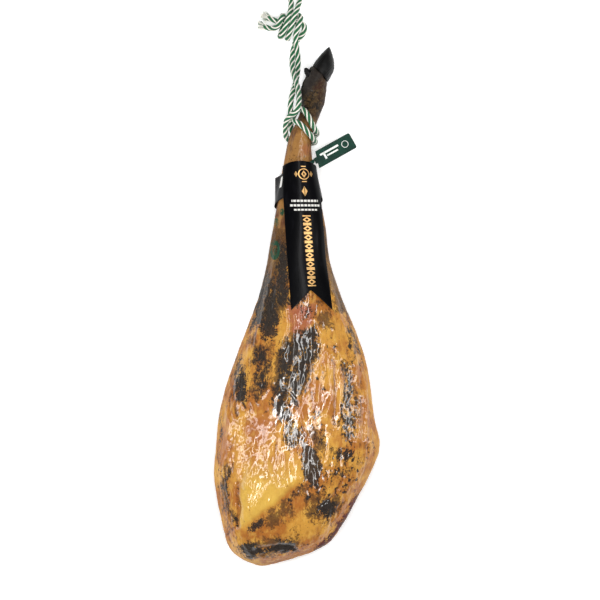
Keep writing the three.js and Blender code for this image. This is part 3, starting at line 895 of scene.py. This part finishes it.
def mark_skin():
    places = pushed(SKIN, 4.5, 24, 31) + pushed(SKIN, 2.5, 7, 35) - SKIN[:, :2]
    edge = 1 - UPPER
    char = painted(places, CHAR, CHAR_PATCHES)
    for dot in DOTS:
        gap = np.linalg.norm(places - dot, axis=1)
        char = np.maximum(char, smooth_step(-gap, -4.2, -1.2))
    around = clouds(SKIN, 26, 41, 3, (0.7, 1.6, 1))
    fading = 0.2 + 0.75 * smooth_step(SKIN[:, 1], -205, -290)
    pale = painted(pushed(SKIN, 2.5, 16, 38), (), PALE_PATCHES, 15) * fading
    # points that face sideways or down are darkened with the mould and bloom colours, the more the
    # further they turn from up
    char = np.maximum(char, edge * (0.2 + 0.35 * around))
    brown = np.maximum(painted(places, BROWN, BROWN_PATCHES, 20), edge * (0.45 + 0.4 * around))
    # hollow: how far a point lies below the broad relief; the hollows are darkened with bloom and
    # mould as painted shade
    hollow = np.clip(0.5 - (LIFT - broad_relief(SKIN)) / 3, 0, 1)
    brown = np.maximum(brown, 0.22 + 0.24 * around + 0.5 * (hollow - 0.5)) - 0.5 * pale
    char -= 0.5 * pale
    lean = smooth_step(-FACING[:, 2] + 0.12 * around, 0.45, 0.7)
    lean *= 1 - smooth_step(SKIN[:, 1], 20, 150)
    rim = mark(stroke(places, LEAN_RIM, 9), 0.9, 8)
    # the mould is also deepened in the hollows, as painted shade
    stain(leg_mesh, "char", char + 0.35 * (hollow - 0.5) * smooth_step(char, 0.15, 0.45))
    stain(leg_mesh, "brown", brown)
    stain(leg_mesh, "pale", pale)
    stain(leg_mesh, "pink", painted(places, (), PINK_PATCHES, 16))
    stain(leg_mesh, "lean", np.maximum(lean, rim))
    along = SKIN[:, 1] + 9 * clouds(SKIN, 30, 51, 2)
    stain(leg_mesh, "shank", smooth_step(along, 35, 110))
    stain(leg_mesh, "foot", smooth_step(along, 262, 296))
    stain(leg_mesh, "band", smooth_step(PAST_CORONET, -13, -3))
    stain(leg_mesh, "hollow", hollow)
    stain(leg_mesh, "side", 1 - smooth_step(FACING[:, 2], 0.3, 0.82))


mark_skin()

# %% [markdown]
# ## The finish of the skin
# The fat is one Principled shader. Its colour starts as golden fat and each stain is mixed over
# it where the stain's attribute beats a threshold of noise: coarse noise breaks up the outline
# of a stain, and fine grit sprays its edge. The noises are made once, as attributes of one
# small class, so that every layer of colour and the bump can share them.


# %% Noises of the skin
class Skin(Finish):
    def __init__(self):
        super().__init__("cured_skin", Coat_Roughness=0.08, Coat_IOR=1.55, Specular_IOR_Level=0.15)
        self.at = self.place()
        along = self.place((1.0, 0.38, 1.0))
        self.large = self.noise(self.at, 26, 4, 0.6)
        self.medium = self.noise(along, 120, 5, 0.62, 0.4)
        self.fine = self.noise(self.at, 520, 5, 0.65, 0.6)
        self.grit = self.noise(self.place((1.0, 0.7, 1.0)), 330, 4, 0.7, 0.3)
        self.scaly = self.noise(self.at, 190, 5, 0.7, 0.6)
        self.crinkle = self.noise(along, 230, 5, 0.62, 0.7)
        blotch = self.noise(self.at, 62, 4, 0.6, 0.5)
        coarse = (self.medium - 0.5) * 1.5 + (blotch - 0.5) * 0.9
        self.threshold = coarse + (self.fine - 0.5) * 1.3 + (self.grit - 0.5) * 1.8 + 0.55

    def over(self, name, softness):
        """Where the stain of this name beats the threshold."""
        return (self.attribute(name) - self.threshold).ramp(-softness, softness)


# %% [markdown]
# ## Layers of colour
# Golden fat, hollows darkened as painted shade, clean fat, dried shank, rosy meat, olive-brown
# bloom, lean meat, mould, the hide of the foot and the dusky band above the horn follow each
# other, each over the one before. On the left of the shank the inspector's ink is a plain green
# ring and two blots, drawn in millimetres on Object coordinates and kept off the underside by
# height.

# %% Colours of the skin
STAMP_RING, STAMP_EYE = (-33, 84, 5.6, 11), (-32, 82, 6, 11.5)  # x, y, half width, half length
STAMP_BLOTS = [(-22.5, 141, 3.6, 6), (-31, 126, 4.2, 7)]
STAMP_LOWEST = 24


def stamp_ink(skin):
    axes = skin.node("ShaderNodeSeparateXYZ", {}, {"Vector": skin.place((1000, 1000, 1000))})
    x, y, z = (Value(skin, output) for output in axes.socket.node.outputs)

    def oval(at_x, at_y, wide, long):
        return (((x - at_x) / wide) ** 2 + ((y - at_y) / long) ** 2) ** 0.5

    outer = (0.34 - abs(oval(*STAMP_RING) - 1)).ramp(-0.06, 0.06)
    inner = (0.5 - oval(*STAMP_EYE)).ramp(-0.1, 0.1) * (skin.fine - 0.46).ramp(0, 0.06)
    first, second = (oval(*blot) for blot in STAMP_BLOTS)
    blots = (1 - first.least(second)).ramp(-0.1, 0.3)
    worn = (skin.medium + skin.fine - 0.84).ramp(0.0, 0.14)
    return outer.most(inner).most(blots) * worn * (z - STAMP_LOWEST).ramp(0, 4) * 0.95


def fat_colour(skin):
    large, medium, fine = skin.large, skin.medium, skin.fine
    fat = skin.mix(colour(200, 144, 54), colour(166, 100, 32), large.ramp(0.38, 0.62))
    fat = skin.mix(fat, colour(216, 172, 80), (medium - 0.5).ramp(0.0, 0.2) * 0.5)
    # painted shade: the fat is darker brown in the hollows between ridges
    fat = skin.mix(fat, colour(140, 76, 20), skin.attribute("hollow").ramp(0.5, 0.85) * 0.7)
    clean = skin.attribute("pale").ramp(0.1, 0.9) * (0.5 + medium * 0.4)
    fat = skin.mix(fat, colour(216, 176, 76), clean)
    dried = (large * 0.5 + medium * 0.5).ramp(0.44, 0.6)
    tan = skin.mix(colour(152, 108, 54), colour(92, 54, 30), dried)
    fat = skin.mix(fat, tan, skin.attribute("shank"))
    rosy = skin.attribute("pink").ramp(0.1, 0.9) * (medium * 1.3 + skin.grit * 0.8 - 0.3)
    meat = skin.mix(colour(176, 92, 66), colour(116, 56, 46), fine)
    return skin.mix(fat, meat, rosy.least(0.9))


def stained(skin, fat, char):
    large, medium, fine, scaly = skin.large, skin.medium, skin.fine, skin.scaly
    brown = skin.mix(colour(92, 58, 20), colour(40, 27, 14), fine.ramp(0.4, 0.6))
    fat = skin.mix(fat, brown, skin.over("brown", 0.16) * 0.8)
    meat = skin.mix(colour(96, 34, 24), colour(46, 20, 16), medium.ramp(0.35, 0.65))
    crust = (fine * 0.4 + medium * 0.6 - 0.56).ramp(0.0, 0.05)
    meat = skin.mix(meat, colour(176, 120, 74), crust)
    fat = skin.mix(fat, meat, skin.over("lean", 0.1))
    mould = skin.mix(colour(10, 9, 9), colour(36, 32, 27), fine.ramp(0.4, 0.66))
    fat = skin.mix(fat, mould, char * (0.86 + skin.grit * 0.14))
    rough = (scaly * 0.75 + fine * 0.25).ramp(0.38, 0.58)
    hide = skin.mix(colour(82, 62, 36), colour(18, 14, 11), rough)
    reddish = (large - 0.46).ramp(0.0, 0.12) * (scaly - 0.4).ramp(0.0, 0.2)
    hide = skin.mix(hide, colour(80, 42, 22), reddish * 0.4)
    fat = skin.mix(fat, hide, skin.attribute("foot"))
    dusky = skin.mix(colour(50, 46, 42), colour(16, 14, 13), scaly)
    fat = skin.mix(fat, dusky, skin.attribute("band") * 0.9)
    return skin.mix(fat, colour(12, 66, 44), stamp_ink(skin))


# %% [markdown]
# ## Oil and crinkles
# Fat sweats oil, so the skin has a clear coat, and a crinkled bump breaks the coat's reflections
# into the bright flakes that oily wrinkled fat shows. The sides, the shank, the foot and the
# lean meat are dry: they lose the coat and are rougher.

# %% Skin finish
def make_skin_finish():
    skin = Skin()
    char = skin.over("char", 0.12)
    foot = skin.attribute("foot")
    flake = skin.cells(skin.place((1.0, 0.6, 1.0)), 400, "SMOOTH_F1")
    pores = skin.noise(skin.at, 1500, 3, 0.6)
    relief = skin.crinkle * 0.75 + flake * (0.5 + char * 0.4) + skin.grit * 0.4
    relief += foot * skin.scaly * 0.8 + pores * 0.1
    dry = foot * 0.7 + skin.attribute("lean") * 0.6 + skin.attribute("shank") * 0.7
    dry = (dry + skin.attribute("side") * 0.95).least(1)
    skin.set(
        Base_Color=stained(skin, fat_colour(skin), char),
        Roughness=0.36 + skin.fine * 0.14 + dry * 0.2,
        Coat_Weight=0.95 - dry * 0.92,
        Normal=skin.bump(relief, 1.8 * MM, 0.85),
    )
    return skin


piece("ham_leg_cured", leg_mesh, [make_skin_finish()], ["ham_leg"])

# %% [markdown]
# ## The horn
# A pig's foot ends in two claws with two small dewclaws behind them. The horn grows from the
# coronet in fine rings and is black and slightly waxy, with a dusty grey streak. Each cap is a
# remeshed copy of its solid, so its edges come out softly worn, and its growth rings are lifted
# a little along the direction of growth.

# %% Horn caps
def make_horn_finish():
    horn = Finish("black_horn", Coat_Weight=0.08, Coat_Roughness=0.25, Specular_IOR_Level=0.12)
    place = horn.place()
    lengthwise = horn.node(
        "ShaderNodeMapping", {},
        {"Vector": place, "Rotation": (0, 0, math.radians(-52)), "Scale": (60, 900, 600)},
    )
    fibre = horn.noise(lengthwise, 1, 4, 0.6)
    dust = horn.noise(place, 90, 5, 0.65)
    chips = horn.noise(place, 700, 3, 0.6)
    tone = horn.mix(colour(2, 2, 2), colour(22, 20, 18), (fibre * 0.7 + dust * 0.6).ramp(0.62, 0.9))
    tone = horn.mix(tone, colour(58, 53, 48), (dust * 0.7 + chips * 0.5).ramp(0.68, 0.8) * 0.4)
    horn.set(
        Base_Color=tone,
        Roughness=0.34 + dust * 0.3,
        Normal=horn.bump(fibre * 0.6 + chips * 0.4, 0.5 * MM, 0.7),
    )
    return horn


RING_SPACING = 2.6  # millimetres from one growth ring to the next
CLAWS = [("hoof_outer", 0.8), ("hoof_inner", 0.8), ("dewclaw_outer", 0.45),
         ("dewclaw_inner", 0.45)]  # solid, voxel in millimetres
CLAW_SMOOTHINGS = 3
CLAW_SEED = 60


def make_claw(node, finish, voxel, seed):
    mesh = mesh_from(remeshed(node, voxel, CLAW_SMOOTHINGS), node + "_horn")
    points, normals = places_and_normals(mesh)
    growth = points @ CORONET_WAY
    wave = np.sin(growth * FULL_TURN / RING_SPACING + 2 * clouds(points, 18, seed))
    worn = clouds(points, 6, seed + 3)
    points += normals * (0.14 * wave + 0.25 * worn - 0.15)[:, None]
    move_points(mesh, points)
    return piece(node + "_horn", mesh, [finish], [node])


HORN = make_horn_finish()
for number, (node, voxel) in enumerate(CLAWS):
    make_claw(node, HORN, voxel * MM, CLAW_SEED + number)

# %% [markdown]
# ## A tape measure for the shank
# The card, the collar and the strap are all wrapped round the shank, so each needs the shank's
# surface. Rays are shot outwards from a straight axis inside the shank, on to the leg's solid.
# That gives a table of radii by angle and height, which is smoothed a little so that no flat
# facet shows in glossy card. `around` reads the table, and `wrapped` walks along a section by
# a given distance, as a tape does.

# %% Radii of the shank
AXIS = Vector((3.2, 0, 44))
TABLE_STEP = 2.0  # degrees round the shank and millimetres along it
TABLE_ANGLES = np.arange(0, 361, TABLE_STEP)
TABLE_HEIGHTS = np.arange(-14, 268, TABLE_STEP)
TABLE_SMOOTHINGS = 6


def measure_shank():
    bm = merged_copy("ham_leg")
    tree = BVHTree.FromBMesh(bm)
    bm.free()
    radii = np.zeros((len(TABLE_HEIGHTS), len(TABLE_ANGLES)))
    for row, height in enumerate(TABLE_HEIGHTS):
        start = Vector((AXIS.x, height, AXIS.z)) * MM
        for column, angle in enumerate(np.radians(TABLE_ANGLES)):
            way = Vector((math.cos(angle), 0, math.sin(angle)))
            radii[row, column] = (tree.ray_cast(start, way)[0] - start).length / MM
    for _ in range(TABLE_SMOOTHINGS):
        turned = np.roll(radii[:, :-1], 1, 1) + np.roll(radii[:, :-1], -1, 1)
        radii[:, :-1] = radii[:, :-1] / 2 + turned / 4
        radii[:, -1] = radii[:, 0]
        radii[1:-1] = radii[1:-1] / 2 + (radii[:-2] + radii[2:]) / 4
    print(f"shank: {radii.min():.0f} to {radii.max():.0f} mm from its axis")
    return radii


RADII = measure_shank()


# %% Walking round the shank
def radius_at(angle, height):
    row = np.clip((height - TABLE_HEIGHTS[0]) / TABLE_STEP, 0, len(TABLE_HEIGHTS) - 1.001)
    column = np.mod(angle, 360) / TABLE_STEP
    r, c = row.astype(int), column.astype(int)
    u, v = row - r, column - c
    top = RADII[r, c] * (1 - v) + RADII[r, c + 1] * v
    low = RADII[r + 1, c] * (1 - v) + RADII[r + 1, c + 1] * v
    return top * (1 - u) + low * u


def around(angle, height, over):
    """The point over the shank's skin at an angle and a height, over millimetres off it."""
    angle, height, over = np.broadcast_arrays(angle, height, over)
    angle, height = angle.astype(float), height.astype(float)

    def on_skin(a, h):
        reach = radius_at(a, h)
        turn = np.radians(a)
        return np.stack([AXIS.x + reach * np.cos(turn), h, AXIS.z + reach * np.sin(turn)], -1)

    outwards = np.cross(
        on_skin(angle, height + 3) - on_skin(angle, height - 3),
        on_skin(angle + 3, height) - on_skin(angle - 3, height),
    )
    outwards /= np.linalg.norm(outwards, axis=-1)[..., None]
    return on_skin(angle, height) + outwards * over[..., None]


def wrapped(start_x, height, distance, over):
    """The point a distance along the section at a height, from where it passes start_x on top."""
    angles = np.arange(-20, 200, 1.0)
    line = around(angles, np.full_like(angles, height), over)
    gone = np.concatenate([[0], np.cumsum(np.linalg.norm(np.diff(line, axis=0), axis=1))])
    upper = (angles > 20) & (angles < 160)
    start = np.interp(-start_x, -line[upper, 0], gone[upper])
    return [np.interp(start - distance, gone, line[:, axis]) for axis in range(3)]


# %% [markdown]
# ## The card label
# A swallow-tailed card of stiff laminated board hangs down the shank from under the hitch. Its
# sheet starts as a flat grid whose own UV map is kept in millimetres, so that the printing can
# be drawn on it. Each point is then walked to its place round the shank, and Solidify gives the
# board its 0.6 mm. A narrow bevel takes the sharpness off its edges.

# %% Card label
CARD_TOP, CARD_TAILS = (5.5, 217), (23, -6)
CARD_WIDTH, CARD_NOTCH, CARD_THICK = 63, 30, 0.6
CARD_CROWN = 8  # how far the middle of the top edge stands above its corners
CARD_LENGTH = CARD_TOP[1] - CARD_TAILS[1]
CARD_ROWS, CARD_COLUMNS = 110, 40


def card_over(height):
    """The card stands off the skin where the collar is under it, and lies close at its tails."""
    return 1.2 + 3.2 * smooth_step(height, 40, 140)


def make_sheet(columns, rows):
    """A flat grid, 0 to 1 each way, with its UV map."""
    bm = bmesh.new()
    bmesh.ops.create_grid(bm, x_segments=columns, y_segments=rows, size=0.5)
    layer = bm.loops.layers.uv.new("UVMap")
    for face in bm.faces:
        for loop in face.loops:
            loop[layer].uv = (loop.vert.co.x + 0.5, loop.vert.co.y + 0.5)
    return bm


def make_card(finish):
    bm = make_sheet(CARD_COLUMNS, CARD_ROWS)
    chart = bm.loops.layers.uv.active
    for vert in bm.verts:
        across, down = vert.co.x * 2, 0.5 - vert.co.y
        start = CARD_TOP[1] - CARD_CROWN * across**2
        end = CARD_TAILS[1] + CARD_NOTCH * (1 - abs(across))
        height = start + (end - start) * down
        share = (CARD_TOP[1] - height) / CARD_LENGTH
        middle = CARD_TOP[0] + (CARD_TAILS[0] - CARD_TOP[0]) * share
        buckle = 0.35 * math.sin(height / 19) * across + 0.5 * across**2 * math.sin(height / 31 + 1)
        over = float(card_over(height)) + 0.3 * buckle
        vert.co = Vector(wrapped(middle, height, across * CARD_WIDTH / 2, over)) * MM
        for loop in vert.link_loops:
            loop[chart].uv = (across / 2 + 0.5, (height - CARD_TAILS[1]) / CARD_LENGTH)
    bmesh.ops.recalc_face_normals(bm, faces=bm.faces)
    if sum(face.normal.z for face in bm.faces) < 0:
        bmesh.ops.reverse_faces(bm, faces=bm.faces)
    mesh = mesh_from(bm, "card_label_board")
    card = piece("card_label_board", mesh, [finish], ["card_label"])
    board = card.modifiers.new("board", "SOLIDIFY")
    board.thickness = CARD_THICK * MM
    board.offset = 1
    rim = card.modifiers.new("rim", "BEVEL")
    rim.width = 0.12 * MM
    rim.segments = 2
    rim.limit_method = "ANGLE"
    return card


# %% [markdown]
# ## Printing in shader maths
# A printed shape is a mask: 1 where a formula of the place on the sheet says ink, 0 elsewhere,
# with a soft step a tenth of a millimetre wide between them. Bars, lozenges and rings are
# enough for the card and the collar, and a fraction node repeats an ornament up the sheet.


# %% Printing tools
class Print:
    """Shapes printed on a flat piece, in millimetres on its UV map."""

    def __init__(self, finish, width, length):
        chart = finish.node("ShaderNodeUVMap", {"uv_map": "UVMap"})
        parts = finish.node("ShaderNodeSeparateXYZ", {}, {"Vector": chart})
        upwards = Value(finish, parts.socket.node.outputs["Y"])
        self.finish = finish
        self.x = (parts - 0.5) * width
        self.y = upwards * length

    def bar(self, x, y, width, height):
        edge = (abs(self.x - x) - width / 2).most(abs(self.y - y) - height / 2)
        return (0 - edge).ramp(-0.12, 0.12)

    def lozenge(self, x, y, width, height):
        reach = abs(self.x - x) / (width / 2) + abs(self.y - y) / (height / 2)
        return (1 - reach).ramp(-0.05, 0.05)

    def ring(self, x, y, radius, thick):
        off = (self.x - x) ** 2 + (self.y - y) ** 2
        return (thick / 2 - abs(off**0.5 - radius)).ramp(-0.12, 0.12)

    def repeat(self, step, start):
        """The same place again every step up the piece, as its distance from the middle."""
        counted = (self.y - start) / step
        whole = self.finish.node("ShaderNodeMath", {"operation": "FRACT"}, {0: counted})
        return (whole - 0.5) * step


def either(marks):
    shown = marks[0]
    for other in marks[1:]:
        shown = shown.most(other)
    return shown


# %% [markdown]
# ## The card's finish
# Gold foil is metal, so the gold mask feeds Metallic as well as the colour. Under a plain
# emblem of lozenges and a ring stand three rows of white dashes and a band of repeated gold
# lozenges. A slight bump and a varied roughness keep the black board from looking like glass.

# %% Card finish
EMBLEM_X, EMBLEM_Y = 3.2, 203
LEAF_X, LEAF_Y = 2.4, 177
CHAIN_X, CHAIN_LOW, CHAIN_HIGH, CHAIN_BEAT = 2.3, 35.4, 141, 13.2
DASH_BEAT = 5.3


def make_card_finish():
    card = Finish("black_card", Coat_Weight=0.06, Coat_Roughness=0.15, Specular_IOR_Level=0.05)
    drawn = Print(card, CARD_WIDTH, CARD_LENGTH)
    grain = card.noise(card.place(), 420, 4)
    scuff = card.noise(card.place((1, 0.3, 1)), 70, 5, 0.65)
    beat = drawn.repeat(CHAIN_BEAT, CHAIN_LOW)
    aside = abs(drawn.x - CHAIN_X)
    column = (6.0 - aside).ramp(-0.15, 0.15)
    inside = (drawn.y - CHAIN_LOW).ramp(0, 0.3) * (CHAIN_HIGH - drawn.y).ramp(0, 0.3)
    chain = (1 - aside / 6.2 - abs(beat) / 4.4).ramp(-0.06, 0.06)
    heart = (1 - aside / 3.0 - abs(beat) / 2.0).ramp(-0.08, 0.08)
    rungs = (0.9 - abs(abs(beat) - 5.6)).ramp(-0.12, 0.12) * column
    gold = either([
        *(drawn.bar(EMBLEM_X, EMBLEM_Y + up, 7, 1.3) for up in (11.6, -11.4)),
        *(drawn.lozenge(EMBLEM_X + out, EMBLEM_Y, 5.4, 9.0) for out in (-11.8, 11.8)),
        drawn.ring(EMBLEM_X, EMBLEM_Y, 7.8, 1.3), drawn.lozenge(EMBLEM_X, EMBLEM_Y, 8.0, 11.0),
        drawn.lozenge(LEAF_X, LEAF_Y, 8.5, 15), inside * either([chain * (1 - heart), rungs]),
    ])
    gold = gold * (1 - drawn.lozenge(EMBLEM_X, EMBLEM_Y, 3.6, 5.2))
    gold = gold * (1 - drawn.bar(LEAF_X, LEAF_Y, 0.9, 12))
    dashes = card.node("ShaderNodeMath", {"operation": "FRACT"}, {0: drawn.x / DASH_BEAT + 0.2})
    gaps = (dashes - 0.2).ramp(0, 0.06)
    white = either([
        drawn.bar(LEAF_X, 162.6, 42, 3.2), drawn.bar(LEAF_X, 155.8, 49, 3.2),
        drawn.bar(LEAF_X, 149.2, 38, 2.6),
    ]) * gaps
    board = card.mix(colour(4, 4, 6), colour(14, 14, 18), scuff.ramp(0.5, 0.75))
    ink = card.mix(board, colour(226, 224, 218), white * 0.92)
    foil = card.mix(colour(196, 150, 88), colour(226, 184, 124), grain)
    card.set(
        Base_Color=card.mix(ink, foil, gold),
        Metallic=gold * 0.85,
        Roughness=0.24 + scuff * 0.12,
        Normal=card.bump(scuff * 0.7 + grain * 0.1, 0.5 * MM, 0.25),
    )
    return card


make_card(make_card_finish())

# %% [markdown]
# ## The paper collar
# Under the card, a band of coated black paper goes right round the shank. It is put on as a
# flat strip, so its ends meet and are glued to each other in a flat fold that stands out on the
# left. The band starts as a grid with as many columns as steps round the shank; its two ends
# are merged, and the points on the left are pulled into the fold.

# %% Paper collar
COLLAR_HEIGHT, COLLAR_OVER, COLLAR_THICK = 42, 2.7, 0.4
COLLAR_Y, COLLAR_TILT, COLLAR_TILT_TOWARDS = 176, 14, 70
COLLAR_STEPS, COLLAR_ROWS = 150, 16
FOLD_X, FOLD_HALF = -32.8, 16


def make_collar(finish):
    bm = make_sheet(COLLAR_STEPS, COLLAR_ROWS)
    for vert in bm.verts:
        turn, up = (vert.co.x + 0.5) * 360, vert.co.y
        middle = COLLAR_Y + COLLAR_TILT * math.cos(math.radians(turn - COLLAR_TILT_TOWARDS))
        crease = 0.22 * math.sin(math.radians(turn * 9) + up * 5) * math.sin(math.radians(turn * 4))
        x, y, z = around(turn, middle + COLLAR_HEIGHT * up, COLLAR_OVER + crease)
        fold = max(0, 1 - abs(turn - 180) / FOLD_HALF)
        vert.co = Vector((min(x, x + (FOLD_X - x) * fold**1.3), y, z)) * MM
    bmesh.ops.remove_doubles(bm, verts=bm.verts, dist=0.01 * MM)
    bmesh.ops.recalc_face_normals(bm, faces=bm.faces)
    mesh = mesh_from(bm, "paper_collar_band")
    band = piece("paper_collar_band", mesh, [finish], ["paper_collar"])
    paper = band.modifiers.new("paper", "SOLIDIFY")
    paper.thickness = COLLAR_THICK * MM
    paper.offset = 0
    return band


def make_collar_finish():
    paper = Finish("black_paper", Coat_Weight=0.12, Coat_Roughness=0.2, Specular_IOR_Level=0.12)
    drawn = Print(paper, 360, COLLAR_HEIGHT)
    creased = paper.noise(paper.place(), 150, 5, 0.65)
    fibre = paper.noise(paper.place(), 1300, 2)
    white = either([
        drawn.bar(-31, 28, 9, 16), drawn.bar(74, 21, 90, 1.4), drawn.bar(74, 25, 90, 0.6),
        drawn.bar(-130, 21, 60, 1.4),
    ])
    tone = paper.mix(colour(12, 12, 14), colour(36, 35, 36), (creased - 0.5).ramp(0.0, 0.2))
    paper.set(
        Base_Color=paper.mix(tone, colour(232, 231, 226), white * 0.95),
        Roughness=0.42 + creased * 0.15,
        Normal=paper.bump(creased * 0.9 + fibre * 0.1, 0.7 * MM, 0.35),
    )
    return paper


make_collar(make_collar_finish())

# %% [markdown]
# ## The plastic seal
# A dark green seal is moulded in one: a flag, a lock head and a strap that goes once round the
# shank. The flag is a plate whose outline is drawn from four corners and extruded, with its
# corners and edges bevelled. The strap is a ladder of four points round the shank, bridged ring
# by ring. Raised white bars and a ring on the flag stand in for its printing.

# %% Sizes of the seal and tools for plates
SEAL_Y, SEAL_SLOPE, SEAL_DROOP = 203, math.radians(29.6), math.radians(11)
FLAG_START, FLAG_LONG, FLAG_WIDE, FLAG_THICK, FLAG_CUT, FLAG_Z = 27, 67, 25.4, 1.4, 7.5, 44
STRAP_WIDE, STRAP_THICK, STRAP_OVER = 5, 1.2, 0.7
STRAP_TURN = 4.0  # degrees from one ring of points to the next
HEAD_LONG, HEAD_HALF, HEAD_LOW, HEAD_HIGH = 9, 4.5, -4, 1
FLAG_PLACE = (
    Matrix.Translation((FLAG_START, SEAL_Y + FLAG_START * math.tan(SEAL_SLOPE), FLAG_Z))
    @ Matrix.Rotation(SEAL_SLOPE, 4, "Z")
    @ Matrix.Rotation(SEAL_DROOP, 4, "Y")
)


def extruded(outline, low, high):
    """A plate between two heights, from the corners of its outline."""
    bm = bmesh.new()
    face = bm.faces.new([bm.verts.new((x, y, low)) for x, y in outline])
    grown = bmesh.ops.extrude_face_region(bm, geom=[face])
    risen = [made for made in grown["geom"] if isinstance(made, bmesh.types.BMVert)]
    bmesh.ops.translate(bm, vec=(0, 0, high - low), verts=risen)
    bmesh.ops.recalc_face_normals(bm, faces=bm.faces)
    return bm


def rounded(bm, radius, choose, segments=4):
    edges = [edge for edge in bm.edges if choose(*(end.co for end in edge.verts))]
    bmesh.ops.bevel(
        bm, geom=edges, offset=radius, offset_type="OFFSET", segments=segments, profile=0.5,
        affect="EDGES", material=-1, clamp_overlap=True,
    )


def upright(a, b):
    return abs(a.x - b.x) < 1e-6 and abs(a.y - b.y) < 1e-6


def level(a, b):
    return abs(a.z - b.z) < 1e-6


def placed(bm, place, name):
    bmesh.ops.transform(bm, matrix=Matrix.Scale(MM, 4) @ place, verts=bm.verts)
    return mesh_from(bm, name)


def sides_of(loop):
    """The pairs of neighbours round a closed loop."""
    return list(zip(loop, loop[1:] + loop[:1]))


def joined(parts, place, name):
    """Several parts as one mesh, all put in the same place."""
    whole = bmesh.new()
    for part in parts:
        mesh = mesh_from(part, name)
        whole.from_mesh(mesh)
        bpy.data.meshes.remove(mesh)
    return placed(whole, place, name)


# %% The seal's mesh
def make_seal(finish):
    half = FLAG_WIDE / 2
    flag = extruded(
        [(0, -half), (FLAG_LONG, -half), (FLAG_LONG, half), (FLAG_CUT, half)], 0, FLAG_THICK
    )
    rounded(flag, 2.5, lambda a, b: upright(a, b) and a.x > FLAG_LONG - 1)
    rounded(flag, 0.35, level, 3)
    head = extruded(
        [(0, -HEAD_HALF), (HEAD_LONG, -HEAD_HALF), (HEAD_LONG, HEAD_HALF), (0, HEAD_HALF)],
        HEAD_LOW, HEAD_HIGH,
    )
    rounded(head, 0.8, lambda a, b: True, 3)
    strap = bmesh.new()
    rings = []
    for turn in np.arange(0, 360, STRAP_TURN):
        beside = around(turn, SEAL_Y, 0)[0] * math.tan(SEAL_SLOPE)
        corners = [(1, -1), (1, 1), (0, 1), (0, -1)]
        ring = [
            around(turn, SEAL_Y + beside + side * STRAP_WIDE / 2, STRAP_OVER + out * STRAP_THICK)
            for out, side in corners
        ]
        rings.append([strap.verts.new(corner) for corner in ring])
    for ring in rings:
        for side in sides_of(ring):
            strap.edges.new(side)
    for pair in zip(rings, rings[1:] + rings[:1]):
        edges = [strap.edges.get(side) for ring in pair for side in sides_of(ring)]
        bmesh.ops.bridge_loops(strap, edges=edges)
    bmesh.ops.recalc_face_normals(strap, faces=strap.faces)
    # the strap is in place already, so it is first moved back to where the flag was drawn
    bmesh.ops.transform(strap, matrix=FLAG_PLACE.inverted(), verts=strap.verts)
    mesh = joined([flag, head, strap], FLAG_PLACE, "plastic_seal_moulded")
    return piece(
        "plastic_seal_moulded", mesh, [finish], ["plastic_seal"], smooth=False
    )


# %% Marks on the flag
INK_LOW, INK_HIGH = FLAG_THICK - 0.05, FLAG_THICK + 0.08
BARS = [(27, 4.2, 32, 3.0), (30, -1.6, 19, 2.4), (17.5, 0.0, 3.2, 10.5)]
RING_INNER, RING_OUTER, RING_MIDDLE = 4.6, 5.4, (53, 0.5, 0)


def make_seal_print(finish):
    """White marks stand a hair's breadth proud of the flag, as thick ink does."""
    parts = []
    for x, y, long, wide in BARS:
        corners = [(-1, -1), (1, -1), (1, 1), (-1, 1)]
        outline = [(x + across * long / 2, y + up * wide / 2) for across, up in corners]
        bar = extruded(outline, INK_LOW, INK_HIGH)
        rounded(bar, 0.5, upright, 3)
        parts.append(bar)
    ring = bmesh.new()
    corners = [(RING_INNER, INK_LOW), (RING_OUTER, INK_LOW), (RING_OUTER, INK_HIGH),
               (RING_INNER, INK_HIGH)]
    verts = [ring.verts.new((x, 0, z)) for x, z in corners]
    edges = [ring.edges.new(side) for side in sides_of(verts)]
    bmesh.ops.spin(
        ring, geom=verts + edges, cent=(0, 0, 0), axis=(0, 0, 1), angle=FULL_TURN, steps=40,
        use_merge=True,
    )
    bmesh.ops.recalc_face_normals(ring, faces=ring.faces)
    bmesh.ops.translate(ring, vec=RING_MIDDLE, verts=ring.verts)
    mesh = joined([*parts, ring], FLAG_PLACE, "seal_marks")
    return piece("seal_marks", mesh, [finish], smooth=False)


# %% [markdown]
# ## The seal's finishes
# The green plastic is moulded, slightly cloudy and finely scratched along its length. The ink
# of the marks is matt, and worn a little greyer in places.


# %% Seal finishes
def make_seal_finishes():
    green = Finish("green_plastic", Coat_Weight=0.1, Coat_Roughness=0.08, Specular_IOR_Level=0.15)
    cloudy = green.noise(green.place(), 60, 4, 0.6)
    scratch = green.noise(green.place((1, 9, 1)), 260, 3, 0.6)
    tone = green.mix(colour(2, 42, 32), colour(6, 58, 44), cloudy.ramp(0.35, 0.65))
    tone = green.mix(tone, colour(110, 140, 130), (scratch - 0.62).ramp(0.0, 0.12) * 0.25)
    green.set(
        Base_Color=tone,
        Roughness=0.24 + cloudy * 0.1 + scratch * 0.08,
        Normal=green.bump(scratch * 0.4 + cloudy, 0.3 * MM, 0.3),
    )
    ink = Finish("white_ink")
    worn = ink.noise(ink.place(), 500, 3)
    ink.set(
        Base_Color=ink.mix(colour(236, 238, 232), colour(190, 198, 190), worn.ramp(0.5, 0.7)),
        Roughness=0.4 + worn * 0.2,
    )
    return green, ink


GREEN_PLASTIC, WHITE_INK = make_seal_finishes()
make_seal(GREEN_PLASTIC)
make_seal_print(WHITE_INK)

# %% [markdown]
